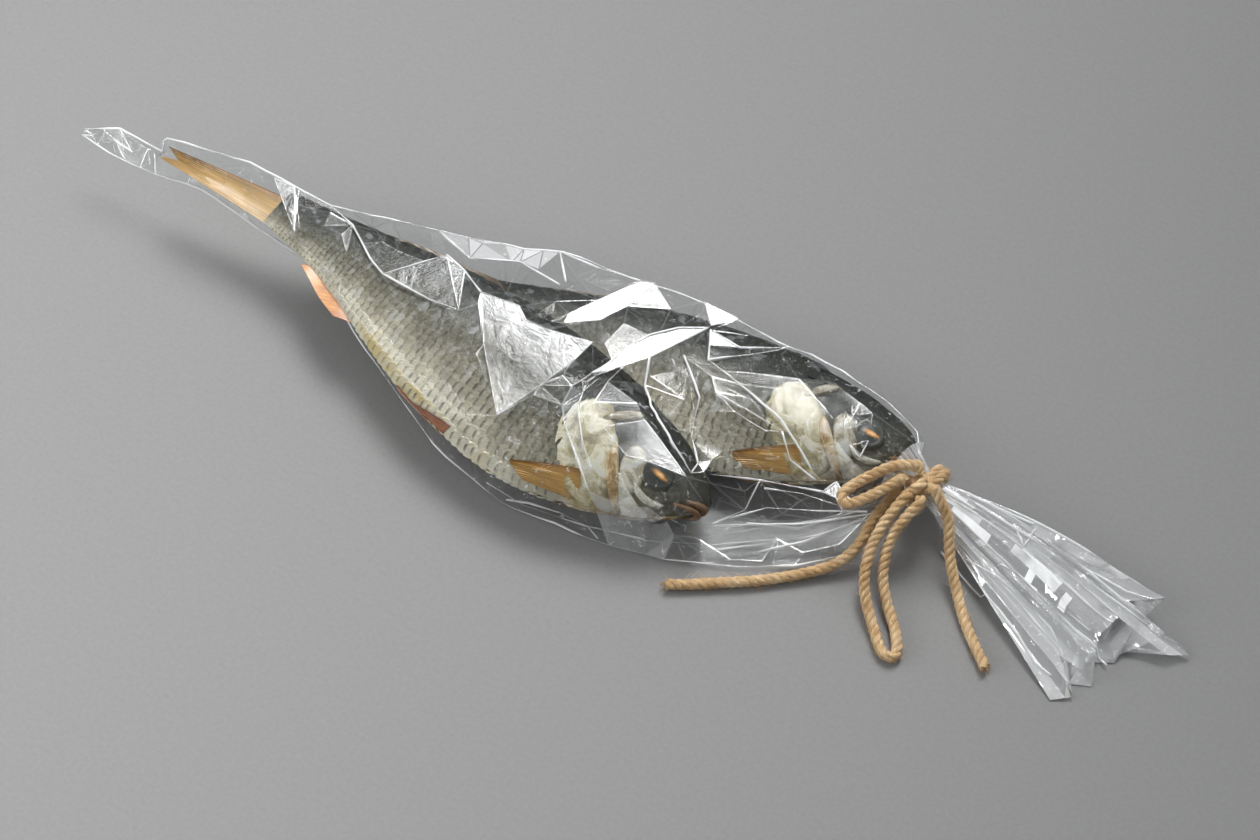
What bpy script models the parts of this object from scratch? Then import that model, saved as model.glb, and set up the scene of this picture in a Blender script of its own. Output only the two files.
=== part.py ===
"""Two dried roach in one clear film bag, tied at the neck with a bow of jute twine.

Metres, +Z up. The pack lies on its side: heads towards +X, right flanks up, bellies towards -Y.
The origin is under the middle of the bag, on the surface that the pack lies on. The bag is the
solid that the film encloses: the film reaches from rim to rim over both fish, and clings where
a fish stands higher. Sizes below are millimetres, and MM turns them to metres.
"""

import math

import bmesh
import bpy
from mathutils import Matrix, Vector

MM = 0.001
COLLECTION = "dried_roach_pack"
GAP = 0.3

# A roach seen from its right side, in shares of its standard length (nose to tail base):
# how far back, the back's and the belly's height over the straight axis, and the half width.
# The last two rows are the tail fin, dried shut.
FISH_STATIONS = (
    (0.00, 0.012, -0.014, 0.010),
    (0.03, 0.038, -0.045, 0.028),
    (0.09, 0.070, -0.088, 0.044),
    (0.16, 0.091, -0.125, 0.054),
    (0.24, 0.108, -0.155, 0.060),
    (0.31, 0.115, -0.168, 0.062),
    (0.38, 0.119, -0.170, 0.062),
    (0.50, 0.115, -0.152, 0.058),
    (0.60, 0.106, -0.127, 0.049),
    (0.68, 0.092, -0.100, 0.039),
    (0.77, 0.075, -0.068, 0.029),
    (0.85, 0.060, -0.047, 0.022),
    (0.93, 0.047, -0.036, 0.017),
    (1.00, 0.037, -0.032, 0.012),
    (1.09, 0.022, -0.028, 0.007),
    (1.205, -0.010, -0.044, 0.004),
)
RING_SIDES = 18

# Each fish: its nose, its tail base, and the turn about its own axis that lowers its back.
FRONT_FISH = (Vector((41.8, -16.6, 12.0)), Vector((-110.1, 1.1, 19.0)), math.radians(-4))
REAR_FISH = (Vector((80.5, 26.3, 9.7)), Vector((-64.0, 5.8, 7.2)), math.radians(2))
FRONT_LENGTH = (FRONT_FISH[1] - FRONT_FISH[0]).length

# Raised forms of a fish, as outlines in the same shares: (how far back, height).
GILL_COVER_CENTRE = (0.175, -0.035)
GILL_COVER_RADII = (0.095, 0.088)
GILL_COVER_LIFT = 1.1
CHEEK_CENTRE = (0.124, -0.060)
CHEEK_RADII = (0.060, 0.052)
CHEEK_LIFT = 0.9
EYE_CENTRE = (0.090, -0.020)
EYE_RADIUS = 4.2
EYE_FLATNESS = 0.32
PECTORAL_FIN = (
    (0.185, -0.095), (0.240, -0.110), (0.310, -0.138), (0.300, -0.156), (0.215, -0.132),
)
PELVIC_FIN = (
    (0.435, -0.126), (0.480, -0.129), (0.560, -0.134), (0.535, -0.152), (0.450, -0.168),
)
# How deep the forms on a flank are sunk, as a share of the width there.
PLATE_SINK = 0.4
OVAL_SIDES = 14
FLAT_FIN_LIFT = 0.7
DORSAL_FIN = (
    (0.480, 0.106), (0.530, 0.134), (0.600, 0.131), (0.680, 0.120), (0.790, 0.094), (0.700, 0.074),
    (0.580, 0.086),
)
ANAL_FIN = (
    (0.700, -0.080), (0.735, -0.104), (0.790, -0.084), (0.845, -0.058), (0.825, -0.034),
    (0.750, -0.050),
)
EDGE_FIN_HALF_THICKNESS = 0.8

# The film's two rims at stations along the bag: (x, far rim's y and z, near rim's y and z).
RIM_STATIONS = (
    (-166.0, -3.0, 16.5, -4.3, 15.0),
    (-156.0, 0.9, 19.0, -5.2, 14.3),
    (-142.0, 3.1, 22.0, -4.7, 14.0),
    (-128.0, 5.2, 23.0, -2.4, 15.0),
    (-118.0, 7.4, 23.0, -3.6, 15.0),
    (-105.0, 7.6, 22.5, -5.7, 15.0),
    (-92.0, 8.9, 18.5, -6.2, 13.7),
    (-82.0, 14.2, 15.0, -9.2, 12.7),
    (-65.0, 21.4, 12.0, -18.6, 9.0),
    (-43.0, 28.1, 11.0, -28.4, 6.0),
    (-30.0, 33.0, 12.0, -34.0, 4.0),
    (-8.0, 34.8, 12.0, -38.0, 1.5),
    (8.0, 37.9, 12.0, -36.0, 1.5),
    (21.5, 38.0, 12.0, -34.6, 1.0),
    (37.7, 36.5, 12.0, -30.2, 1.0),
    (55.0, 33.6, 12.0, -22.2, 1.0),
    (67.0, 31.8, 12.0, -14.4, 1.0),
    (78.0, 29.3, 12.0, -4.0, 1.5),
    (80.4, 27.0, 12.4, 5.0, 4.0),
    (81.7, 24.4, 12.6, 12.0, 5.6),
)
# One stretch reaches into the next by this much, and lies this far inside it there.
STRETCH_OVERLAP, STRETCH_INSET = 1.0, 0.15
# Between the ridges the film dips under the fishes' own flanks by this share of their width.
WEB_DIP = 0.14
# The film over a fish, with the scales under it, adds this much to each flank.
FILM_AND_SCALES = 1.4
# The film under a fish keeps it this far over the floor, where the hidden flank is pressed flat.
FILM_UNDER = 0.3
# The bag lies flat on the floor between these two x, this far inside its rims.
FLOOR_FROM, FLOOR_TO = -48.0, 79.0
FLOOR_INSET_FAR, FLOOR_INSET_NEAR = 13.0, 3.0

# The tied neck, where the film is gathered to a round bunch.
NECK_CENTRE = Vector((87.0, 19.0, 9.4))
NECK_AXIS = Vector((1.0, -0.17, -0.10)).normalized()
NECK_RADIUS = 3.9
NECK_REACH_BACK, NECK_REACH_AHEAD = 6.5, 4.2
NECK_SIDES = 14

# The open mouth beyond the tie: the pleats' ends along the hem, from the far corner to the near.
HEM = (
    Vector((154.8, 24.4, 6.0)),
    Vector((160.3, 17.9, 4.6)),
    Vector((166.0, 13.2, 1.4)),
    Vector((158.4, 12.0, 6.0)),
    Vector((153.0, 5.4, 2.4)),
    Vector((151.6, -1.6, 4.4)),
    Vector((145.8, -11.2, 0.9)),
)
SKIRT_STEPS = 4
SKIRT_BOW = 2.4
SKIRT_END_THICKNESS = 1.0
# The lower layer of the mouth lies back from the hem, and keeps this share of its height.
LOW_HEM_BACK, LOW_HEM_HEIGHT = 0.6, 0.15

# Jute twine, and the bow's knot on the upper front of the neck.
TWINE_DIAMETER = 2.8
WRAP_TURNS = 2
WRAP_PITCH = 3.0
WRAP_SEGMENTS, TWINE_SIDES = 28, 8
KNOT_CENTRE = Vector((86.0, 14.6, 16.2))
KNOT_RADIUS = 3.8
STRAIGHT_LEAVE = 1.5
STRAND_SPACING = 2.6
CURVE_STEPS = 24
# A strand on the floor lies this much over it, so that its rounded underside stays above.
STRAND_REST = 0.2

# Where each strand leaves the knot, as (azimuth, elevation) in degrees, and the points that it
# then passes. A loop also comes back to the knot. The loose strands end on the floor.
STRANDS = {
    "twine_loop_left": (
        (125, 55),
        (
            (79.4, 14.4, 20.8), (75.0, 9.2, 19.4), (71.6, 4.4, 17.8), (70.6, 1.9, 16.8),
            (71.6, 0.3, 16.2), (74.0, 1.3, 16.2), (77.6, 5.8, 17.2), (80.3, 9.8, 18.0),
        ),
        (205, 30),
    ),
    "twine_loop_down": (
        (258, 12),
        (
            (83.3, 2.8, 13.2), (82.9, -4.2, 9.4), (84.9, -10.8, 6.0), (88.7, -16.2, 3.6),
            (93.1, -20.6, 2.0), (97.4, -24.6, 1.6), (100.4, -25.8, 1.6), (101.4, -23.4, 1.6),
            (98.2, -18.4, 1.6), (92.9, -13.0, 2.6), (88.7, -7.8, 5.2), (86.5, -2.4, 8.6),
            (86.7, 3.4, 12.8),
        ),
        (302, 6),
    ),
    "twine_end_left": (
        (219, -18),
        (
            (79.6, 2.8, 10.4), (79.2, -3.6, 6.8), (76.8, -8.9, 3.8), (72.0, -14.0, 2.2),
            (65.4, -20.0, 1.6), (57.2, -26.2, 1.6), (48.8, -32.0, 1.6), (41.4, -36.6, 1.6),
        ),
        None,
    ),
    "twine_end_right": (
        (356, 30),
        (
            (96.2, 11.6, 13.6), (99.0, 8.0, 9.6), (101.8, 4.4, 6.2), (106.6, -1.0, 3.2),
            (111.2, -5.8, 1.9), (116.6, -10.8, 1.6), (122.6, -15.8, 1.6),
        ),
        None,
    ),
}


def metres(points):
    return [point * MM for point in points]


def clear_scene():
    for obj in list(bpy.data.objects):
        bpy.data.objects.remove(obj, do_unlink=True)


def new_collection(name, hidden=False):
    collection = bpy.data.collections.new(name)
    collection.hide_render = hidden
    bpy.context.scene.collection.children.link(collection)
    return collection


def new_material(name, colour, roughness):
    material = bpy.data.materials.new(name)
    material.use_nodes = True
    shader = material.node_tree.nodes["Principled BSDF"]
    shader.inputs["Base Color"].default_value = (*colour, 1.0)
    shader.inputs["Roughness"].default_value = roughness
    return material


def mesh_object(name, bm, collection, material=None):
    """The bmesh as a new object, its faces pointing out."""
    bmesh.ops.recalc_face_normals(bm, faces=bm.faces)
    mesh = bpy.data.meshes.new(name)
    bm.to_mesh(mesh)
    bm.free()
    obj = bpy.data.objects.new(name, mesh)
    if material:
        mesh.materials.append(material)
    collection.objects.link(obj)
    return obj


def loft(name, rings, collection):
    """A closed solid through rings of equal length, in millimetres, its two ends capped."""
    bm = bmesh.new()
    loops = [[bm.verts.new(point) for point in metres(ring)] for ring in rings]
    sides = len(rings[0])
    for ring, following in zip(loops, loops[1:]):
        for i in range(sides):
            j = (i + 1) % sides
            bm.faces.new((ring[i], ring[j], following[j], following[i]))
    bm.faces.new(reversed(loops[0]))
    bm.faces.new(loops[-1])
    bmesh.ops.triangulate(bm, faces=bm.faces)
    return mesh_object(name, bm, collection)


def hull(name, points, collection):
    """The convex hull of points in millimetres."""
    bm = bmesh.new()
    for point in metres(points):
        bm.verts.new(point)
    made = bmesh.ops.convex_hull(bm, input=bm.verts)
    spare = made["geom_interior"] + made["geom_unused"]
    unused = [item for item in spare if isinstance(item, bmesh.types.BMVert)]
    bmesh.ops.delete(bm, geom=list(set(unused)), context="VERTS")
    bmesh.ops.triangulate(bm, faces=bm.faces)
    return mesh_object(name, bm, collection)


def united(name, pieces, collection, joining, material):
    """One solid from overlapping pieces, by a Boolean union that is applied."""
    base = pieces[0]
    joining.objects.unlink(base)
    collection.objects.link(base)
    modifier = base.modifiers.new("join", "BOOLEAN")
    modifier.operation = "UNION"
    modifier.operand_type = "COLLECTION"
    modifier.collection = joining
    modifier.solver = "EXACT"
    graph = bpy.context.evaluated_depsgraph_get()
    mesh = bpy.data.meshes.new_from_object(base.evaluated_get(graph))
    for piece in pieces:
        bpy.data.objects.remove(piece, do_unlink=True)
    mesh.name = name
    mesh.materials.clear()
    mesh.materials.append(material)
    obj = bpy.data.objects.new(name, mesh)
    collection.objects.link(obj)
    return obj


# The fish


def station_at(share):
    """Back, belly and half width at a share of the length, between the stations."""
    for before, after in zip(FISH_STATIONS, FISH_STATIONS[1:]):
        if share <= after[0]:
            mix = (share - before[0]) / (after[0] - before[0])
            return [a + (b - a) * mix for a, b in zip(before[1:], after[1:])]
    return list(FISH_STATIONS[-1][1:])


def section_width(half_width, across):
    """The half width at a height: across runs from -1 at the belly's edge to 1 at the back's."""
    edge = max(0.0, 1.0 - across * across)
    return half_width * math.sqrt(edge) ** (1.1 - 0.25 * across)


def surface_width(share, height):
    back, belly, half_width = station_at(share)
    middle, reach = (back + belly) / 2, (back - belly) / 2
    across = min(1.0, max(-1.0, (height - middle) / reach))
    return section_width(half_width, across) + FILM_AND_SCALES / FRONT_LENGTH


def fish_point(fish, share, height, out):
    """A point of a fish: shares of its length for the first two, and out from its mid plane."""
    nose, tail, roll = fish
    along = tail - nose
    length = along.length
    forward = -along.normalized()
    up = Vector((0, 0, 1)).cross(forward).normalized()
    flank = forward.cross(up)
    turn = Matrix.Rotation(-roll, 3, forward)
    return nose + along * share + (turn @ up) * height * length + (turn @ flank) * out * length


def fish_rings(fish, narrowing=1.0, lowest=FILM_UNDER):
    rings = []
    cover = FILM_AND_SCALES / FRONT_LENGTH
    for share, back, belly, half_width in FISH_STATIONS:
        middle, reach = (back + belly) / 2, (back - belly) / 2
        ring = []
        for i in range(RING_SIDES):
            angle = 2 * math.pi * (i + 0.5) / RING_SIDES
            across = math.cos(angle)
            out = section_width(half_width, across) * narrowing + cover
            out = math.copysign(out, math.sin(angle))
            point = fish_point(fish, share, middle + reach * across, out)
            point.z = max(lowest, point.z)
            ring.append(point)
        rings.append(ring)
    return rings


def plate(name, fish, outline, lift, collection):
    """A flat form on the shown flank, standing out by lift millimetres along its outline."""
    length = (fish[1] - fish[0]).length
    count = len(outline)
    middle = (sum(p[0] for p in outline) / count, sum(p[1] for p in outline) / count)
    bm = bmesh.new()
    inner, outer = [
        [
            bm.verts.new(
                fish_point(fish, share, height, surface_width(share, height) * sink + rise / length) * MM
            )
            for share, height in (*outline, middle)
        ]
        for sink, rise in ((PLATE_SINK, 0.0), (1.0, lift))
    ]
    for i in range(count):
        j = (i + 1) % count
        bm.faces.new((inner[i], inner[j], outer[j], outer[i]))
        bm.faces.new((outer[i], outer[j], outer[count]))
        bm.faces.new((inner[j], inner[i], inner[count]))
    return mesh_object(name, bm, collection)


def edge_fin(name, fish, outline, collection):
    """A thin fin in the fish's mid plane."""
    half = EDGE_FIN_HALF_THICKNESS / (fish[1] - fish[0]).length
    rings = [[fish_point(fish, share, height, out) for share, height in outline] for out in (-half, half)]
    return loft(name, rings, collection)


def ellipse(centre, radii):
    angles = [2 * math.pi * i / OVAL_SIDES for i in range(OVAL_SIDES)]
    return [(centre[0] + radii[0] * math.cos(a), centre[1] + radii[1] * math.sin(a)) for a in angles]


def eyeball(name, fish, collection):
    share, height = EYE_CENTRE
    centre = fish_point(fish, share, height, surface_width(share, height))
    outward = (fish_point(fish, share, height, 1.0) - fish_point(fish, share, height, 0.0)).normalized()
    bm = bmesh.new()
    bmesh.ops.create_uvsphere(bm, u_segments=OVAL_SIDES, v_segments=8, radius=EYE_RADIUS * MM)
    bmesh.ops.scale(bm, vec=(1, 1, EYE_FLATNESS), verts=bm.verts)
    place = Matrix.Translation(centre * MM) @ outward.to_track_quat("Z", "Y").to_matrix().to_4x4()
    bmesh.ops.transform(bm, matrix=place, verts=bm.verts)
    bmesh.ops.triangulate(bm, faces=bm.faces)
    return mesh_object(name, bm, collection)


def fish_pieces(prefix, fish, collection):
    return [
        loft(prefix + "body", fish_rings(fish), collection),
        plate(
            prefix + "gill_cover", fish, ellipse(GILL_COVER_CENTRE, GILL_COVER_RADII),
            GILL_COVER_LIFT, collection,
        ),
        plate(
            prefix + "cheek", fish, ellipse(CHEEK_CENTRE, CHEEK_RADII), CHEEK_LIFT, collection,
        ),
        plate(prefix + "pectoral_fin", fish, PECTORAL_FIN, FLAT_FIN_LIFT, collection),
        plate(prefix + "pelvic_fin", fish, PELVIC_FIN, FLAT_FIN_LIFT, collection),
        edge_fin(prefix + "dorsal_fin", fish, DORSAL_FIN, collection),
        edge_fin(prefix + "anal_fin", fish, ANAL_FIN, collection),
        eyeball(prefix + "eye", fish, collection),
    ]


# The film


def rims_at(x):
    """The film's far and near rim at a place along the bag."""
    for before, after in zip(RIM_STATIONS, RIM_STATIONS[1:]):
        if x <= after[0]:
            mix = (x - before[0]) / (after[0] - before[0])
            far_y, far_z, near_y, near_z = (a + (b - a) * mix for a, b in zip(before[1:], after[1:]))
            return Vector((x, far_y, far_z)), Vector((x, near_y, near_z))
    x, far_y, far_z, near_y, near_z = RIM_STATIONS[-1]
    return Vector((x, far_y, far_z)), Vector((x, near_y, near_z))


def section_at(rings, x):
    """Where the lines that run along a fish cross a plane across the bag."""
    points = []
    for ring, following in zip(rings, rings[1:]):
        for a, b in zip(ring, following):
            if min(a.x, b.x) <= x < max(a.x, b.x):
                points.append(a.lerp(b, (x - a.x) / (b.x - a.x)))
    return points


def film_pieces(collection):
    """The film between one station and the next: the hull of its rims, the fish and the floor."""
    fishes = [fish_rings(fish, 1.0 - WEB_DIP, 0.0) for fish in (FRONT_FISH, REAR_FISH)]
    pieces = []
    for before, after in zip(RIM_STATIONS, RIM_STATIONS[1:]):
        start, end = before[0], after[0]
        points = [p for rings in fishes for ring in rings for p in ring if start <= p.x <= end]
        points += [p for rings in fishes for x in (start, end) for p in section_at(rings, x)]
        for x, inset in ((start, 0.0), (end, 0.0), (end + STRETCH_OVERLAP, STRETCH_INSET)):
            far, near = rims_at(x)
            points += [far - Vector((0, inset, 0)), near + Vector((0, inset, 0))]
            if FLOOR_FROM <= x <= FLOOR_TO:
                points.append(Vector((x, far.y - FLOOR_INSET_FAR - inset, inset)))
                points.append(Vector((x, near.y + FLOOR_INSET_NEAR + inset, inset)))
        pieces.append(hull("film", points, collection))
    return pieces


def neck_frame():
    """Two directions across the neck: towards the far side, and up."""
    up = (Vector((0, 0, 1)) - NECK_AXIS * NECK_AXIS.z).normalized()
    return up.cross(NECK_AXIS), up


def neck_ring(along, radius, count):
    far, up = neck_frame()
    angles = [2 * math.pi * i / count for i in range(count)]
    return [
        NECK_CENTRE + NECK_AXIS * along + (far * math.cos(a) + up * math.sin(a)) * radius
        for a in angles
    ]


def skirt_piece(collection):
    """The film's loose end: straight pleats that fan out from the neck down to the floor."""
    top = len(HEM)
    count = 2 * top - 2
    start = neck_ring(NECK_REACH_AHEAD - 1.0, NECK_RADIUS, count)
    low_hem = [
        Vector((p.x - LOW_HEM_BACK, p.y, max(0.0, p.z - SKIRT_END_THICKNESS) * LOW_HEM_HEIGHT))
        for p in HEM[1:-1]
    ]
    end = list(HEM) + low_hem[::-1]
    rings = []
    for step in range(SKIRT_STEPS + 1):
        mix = step / SKIRT_STEPS
        bow = SKIRT_BOW * math.sin(math.pi * mix)
        ring = []
        for i, (near_neck, hem) in enumerate(zip(start, end)):
            point = near_neck.lerp(hem, mix)
            point.y += bow * (1 - min(i, top - 1) / (top - 1)) if i < top else 0.0
            point.z = max(0.0, point.z)
            ring.append(point)
        rings.append(ring)
    return loft("skirt", rings, collection)


def bag(collection, joining, material):
    pieces = film_pieces(joining)
    pieces += fish_pieces("front_", FRONT_FISH, joining)
    pieces += fish_pieces("rear_", REAR_FISH, joining)
    neck = [neck_ring(a, NECK_RADIUS, NECK_SIDES) for a in (-NECK_REACH_BACK, NECK_REACH_AHEAD)]
    pieces.append(loft("neck", neck, joining))
    pieces.append(skirt_piece(joining))
    return united("bag", pieces, collection, joining, material)


# The twine


def wrap_turn(name, along, collection):
    far, up = neck_frame()
    radius = NECK_RADIUS + GAP + TWINE_DIAMETER / 2
    rings = []
    bm = bmesh.new()
    for i in range(WRAP_SEGMENTS):
        angle = 2 * math.pi * i / WRAP_SEGMENTS
        outward = far * math.cos(angle) + up * math.sin(angle)
        ring = []
        for k in range(TWINE_SIDES):
            turn = 2 * math.pi * k / TWINE_SIDES
            across = outward * math.cos(turn) + NECK_AXIS * math.sin(turn)
            point = NECK_CENTRE + NECK_AXIS * along + outward * radius + across * TWINE_DIAMETER / 2
            ring.append(bm.verts.new(point * MM))
        rings.append(ring)
    for ring, following in zip(rings, rings[1:] + rings[:1]):
        for k in range(TWINE_SIDES):
            j = (k + 1) % TWINE_SIDES
            bm.faces.new((ring[k], ring[j], following[j], following[k]))
    return mesh_object(name, bm, collection)


def twine_wrap(collection, joining, material):
    turns = [
        wrap_turn("turn", (i - (WRAP_TURNS - 1) / 2) * WRAP_PITCH, joining) for i in range(WRAP_TURNS)
    ]
    # The two turns lie side by side, and the knot on them holds them as one solid.
    bm = bmesh.new()
    bmesh.ops.create_uvsphere(bm, u_segments=20, v_segments=12, radius=KNOT_RADIUS * MM)
    bmesh.ops.translate(bm, vec=KNOT_CENTRE * MM, verts=bm.verts)
    knot = mesh_object("knot", bm, joining)
    return united("twine_wrap", turns + [knot], collection, joining, material)


def smooth_route(points, spacing):
    """Points at even spacing on a Catmull-Rom curve through the given points."""
    ends = [points[0] * 2 - points[1], *points, points[-1] * 2 - points[-2]]
    fine = []
    for a, b, c, d in zip(ends, ends[1:], ends[2:], ends[3:]):
        for i in range(CURVE_STEPS):
            t = i / CURVE_STEPS
            bend = (a * 2 - b * 5 + c * 4 - d) * t**2 + (b * 3 - a - c * 3 + d) * t**3
            fine.append((b * 2 + (c - a) * t + bend) / 2)
    fine.append(points[-1])
    total = sum((q - p).length for p, q in zip(fine, fine[1:]))
    count = max(2, round(total / spacing))
    route, done, goal = [fine[0]], 0.0, total / count
    for p, q in zip(fine, fine[1:]):
        step = (q - p).length
        while done + step >= goal and len(route) < count:
            route.append(p.lerp(q, (goal - done) / step))
            goal += total / count
        done += step
    return route + [points[-1]]


def knot_exit(direction):
    """Two points straight out of the knot: where a strand starts, and where it begins to bend."""
    azimuth, elevation = (math.radians(value) for value in direction)
    flat = math.cos(elevation)
    outward = Vector((math.cos(azimuth) * flat, math.sin(azimuth) * flat, math.sin(elevation)))
    start = KNOT_CENTRE + outward * (KNOT_RADIUS + GAP)
    return [start, start + outward * STRAIGHT_LEAVE]


def strand(name, leaving, passing, returning, collection, material):
    start, straight = knot_exit(leaving)
    ends = knot_exit(returning)[::-1] if returning else [Vector(passing[-1])]
    middle = passing if returning else passing[:-1]
    points = [straight, *(Vector(point) for point in middle), ends[0]]
    route = [start, *smooth_route(points, STRAND_SPACING), *ends[1:]]
    floor = TWINE_DIAMETER / 2 + STRAND_REST
    route = [Vector((p.x, p.y, max(floor, p.z))) for p in route]
    curve = bpy.data.curves.new(name, "CURVE")
    curve.dimensions = "3D"
    spline = curve.splines.new("POLY")
    spline.points.add(len(route) - 1)
    for target, point in zip(spline.points, metres(route)):
        target.co = (*point, 1.0)
    curve.bevel_depth = TWINE_DIAMETER / 2 * MM
    curve.bevel_resolution = 2
    curve.use_fill_caps = True
    curve.materials.append(material)
    obj = bpy.data.objects.new(name, curve)
    collection.objects.link(obj)
    return obj


clear_scene()
parts = new_collection(COLLECTION)
joining = new_collection("joined_pieces", hidden=True)
film = new_material("clear_film_over_fish", (0.36, 0.35, 0.30), 0.25)
jute = new_material("jute", (0.55, 0.34, 0.15), 0.9)
bag(parts, joining, film)
twine_wrap(parts, joining, jute)
for name, (leaving, passing, returning) in STRANDS.items():
    strand(name, leaving, passing, returning, parts, jute)
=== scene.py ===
"""Two dried roach in a clear film bag that is tied shut with a bow of jute twine.

Sizes are millimetres and MM turns them to metres. Heads point towards +X, the shown right flanks
point up, and the bellies point towards -Y.
"""

import math
import random

import bmesh
import bpy
from mathutils import Matrix, Vector, noise
from mathutils.bvhtree import BVHTree
from mathutils.geometry import delaunay_2d_cdt


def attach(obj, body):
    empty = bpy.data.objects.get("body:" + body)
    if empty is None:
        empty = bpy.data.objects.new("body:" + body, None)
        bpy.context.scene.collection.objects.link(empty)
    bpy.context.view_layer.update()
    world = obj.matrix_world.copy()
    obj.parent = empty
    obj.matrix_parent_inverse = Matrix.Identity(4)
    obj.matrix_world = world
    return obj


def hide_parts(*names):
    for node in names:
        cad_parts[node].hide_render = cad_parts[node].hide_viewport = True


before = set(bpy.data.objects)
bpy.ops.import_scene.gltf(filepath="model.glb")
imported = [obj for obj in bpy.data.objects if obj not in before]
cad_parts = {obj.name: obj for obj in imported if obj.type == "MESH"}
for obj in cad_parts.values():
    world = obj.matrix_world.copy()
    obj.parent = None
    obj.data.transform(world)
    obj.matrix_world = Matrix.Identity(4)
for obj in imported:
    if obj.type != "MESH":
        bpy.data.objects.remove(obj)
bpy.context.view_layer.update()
MM = 0.001


# The camera. A short telephoto lens looks down on the pack from beyond its bellies, from the
# side of the heads.
camera_data = bpy.data.cameras.new("studio_camera")
camera_data.lens = 85
camera_data.clip_start = 0.01
camera = bpy.data.objects.new("studio_camera", camera_data)
camera.location = Vector((223.57, -357.98, 672.3)) * MM
camera.rotation_euler = Vector((-0.27293, 0.45423, -0.84805)).to_track_quat("-Z", "Y").to_euler()
bpy.context.scene.collection.objects.link(camera)
bpy.context.scene.camera = camera


# The bow's strands: two loops and two loose ends of jute twine. Three plies of loosely spun
# fibre are laid round each other, and short fibres stand off them. Each strand leaves the knot
# straight, drops, and lies on what the pack stands on.
TWINE_DIAMETER = 2.8
PLY_RADIUS = 0.81
PLY_OFFSET = 0.69
PLY_PITCH = 6.4
PLY_SIDES = 9
PLY_STEP = 0.5
PLY_REACH = PLY_OFFSET + PLY_RADIUS
KNOT_CENTRE = Vector((86.0, 14.6, 16.2))
KNOT_RADIUS = 3.8
KNOT_GAP = 0.3
STRAIGHT_LEAVE = 1.5
STRAND_SPACING = 2.6
STRAND_REST = 0.2
FIBRE_RADIUS = 0.045
FIBRE_LOWEST = 0.15
FIBRES_A_STEP = 2.8
FIBRE_LENGTHS = (1.0, 3.2)
FIBRE_RISES = (0.15, 0.62)  # how steeply they leave the ply, as shares of their length
TUFT_FIBRES = 46
TUFT_LENGTHS = (0.9, 2.6)
FINE_STEPS = 24

STRANDS = {  # where it leaves the knot in degrees, the points it passes, and where it comes back
    "twine_loop_left": (
        (125, 55),
        (
            (79.4, 14.4, 20.8), (75.0, 9.2, 19.4), (71.6, 4.4, 17.8), (70.6, 1.9, 16.8),
            (71.6, 0.3, 16.2), (74.0, 1.3, 16.2), (77.6, 5.8, 17.2), (80.3, 9.8, 18.0),
        ),
        (205, 30),
    ),
    "twine_loop_down": (
        (258, 12),
        (
            (83.3, 2.8, 13.2), (82.9, -4.2, 9.4), (84.9, -10.8, 6.0), (88.7, -16.2, 3.6),
            (93.1, -20.6, 2.0), (97.4, -24.6, 1.6), (100.4, -25.8, 1.6), (101.4, -23.4, 1.6),
            (98.2, -18.4, 1.6), (92.9, -13.0, 2.6), (88.7, -7.8, 5.2), (86.5, -2.4, 8.6),
            (86.7, 3.4, 12.8),
        ),
        (302, 6),
    ),
    "twine_end_left": (
        (219, -18),
        (
            (79.6, 2.8, 10.4), (79.2, -3.6, 6.8), (76.8, -8.9, 3.8), (72.0, -14.0, 2.2),
            (65.4, -20.0, 1.6), (57.2, -26.2, 1.6), (48.8, -32.0, 1.6), (41.4, -36.6, 1.6),
        ),
        None,
    ),
    "twine_end_right": (
        (356, 30),
        (
            (96.2, 11.6, 13.6), (99.0, 8.0, 9.6), (101.8, 4.4, 6.2), (106.6, -1.0, 3.2),
            (111.2, -5.8, 1.9), (116.6, -10.8, 1.6), (122.6, -15.8, 1.6),
        ),
        None,
    ),
}


def linear_colour(code):
    """An sRGB hex code as linear red, green, blue and a full alpha."""
    shares = [int(code[i:i + 2], 16) / 255 for i in (1, 3, 5)]
    return [s / 12.92 if s <= 0.04045 else ((s + 0.055) / 1.055) ** 2.4 for s in shares] + [1.0]


def new_material(name):
    """A material with nothing but its output node."""
    material = bpy.data.materials.new(name)
    material.use_nodes = True
    material.node_tree.nodes.clear()
    return material


def add_node(material, kind, settings=None, inputs=None):
    """Adds a node. Settings are its own properties, with a ramp's stops among them, and inputs
    are its sockets' values or the sockets that feed them."""
    node = material.node_tree.nodes.new(kind)
    for name, value in (settings or {}).items():
        if name == "stops":
            marks = node.color_ramp.elements
            while len(marks) < len(value):
                marks.new(1.0)
            for mark, (place, code) in zip(marks, value):
                mark.position = place
                mark.color = linear_colour(code)
        else:
            setattr(node, name, value)
    for name, value in (inputs or {}).items():
        if isinstance(value, bpy.types.NodeSocket):
            material.node_tree.links.new(value, node.inputs[name])
        else:
            node.inputs[name].default_value = value
    return node


def own_attribute(material, name):
    """What a piece's points or faces hold under a name."""
    return add_node(material, "ShaderNodeAttribute", {"attribute_name": name}).outputs["Vector"]


def own_places(material):
    """Places on a piece, in metres."""
    return add_node(material, "ShaderNodeTexCoord").outputs["Object"]


def parts_of(material, vector):
    """A vector's three parts."""
    return add_node(material, "ShaderNodeSeparateXYZ", None, {"Vector": vector}).outputs[:]


def multiplied(material, vector, factors):
    """A vector with each part multiplied by its own factor."""
    inputs = {0: vector, 1: factors}
    return add_node(material, "ShaderNodeVectorMath", {"operation": "MULTIPLY"}, inputs).outputs[0]


def length_of(material, vector):
    """A vector's length."""
    node = add_node(material, "ShaderNodeVectorMath", {"operation": "LENGTH"}, {0: vector})
    return node.outputs["Value"]


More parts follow.
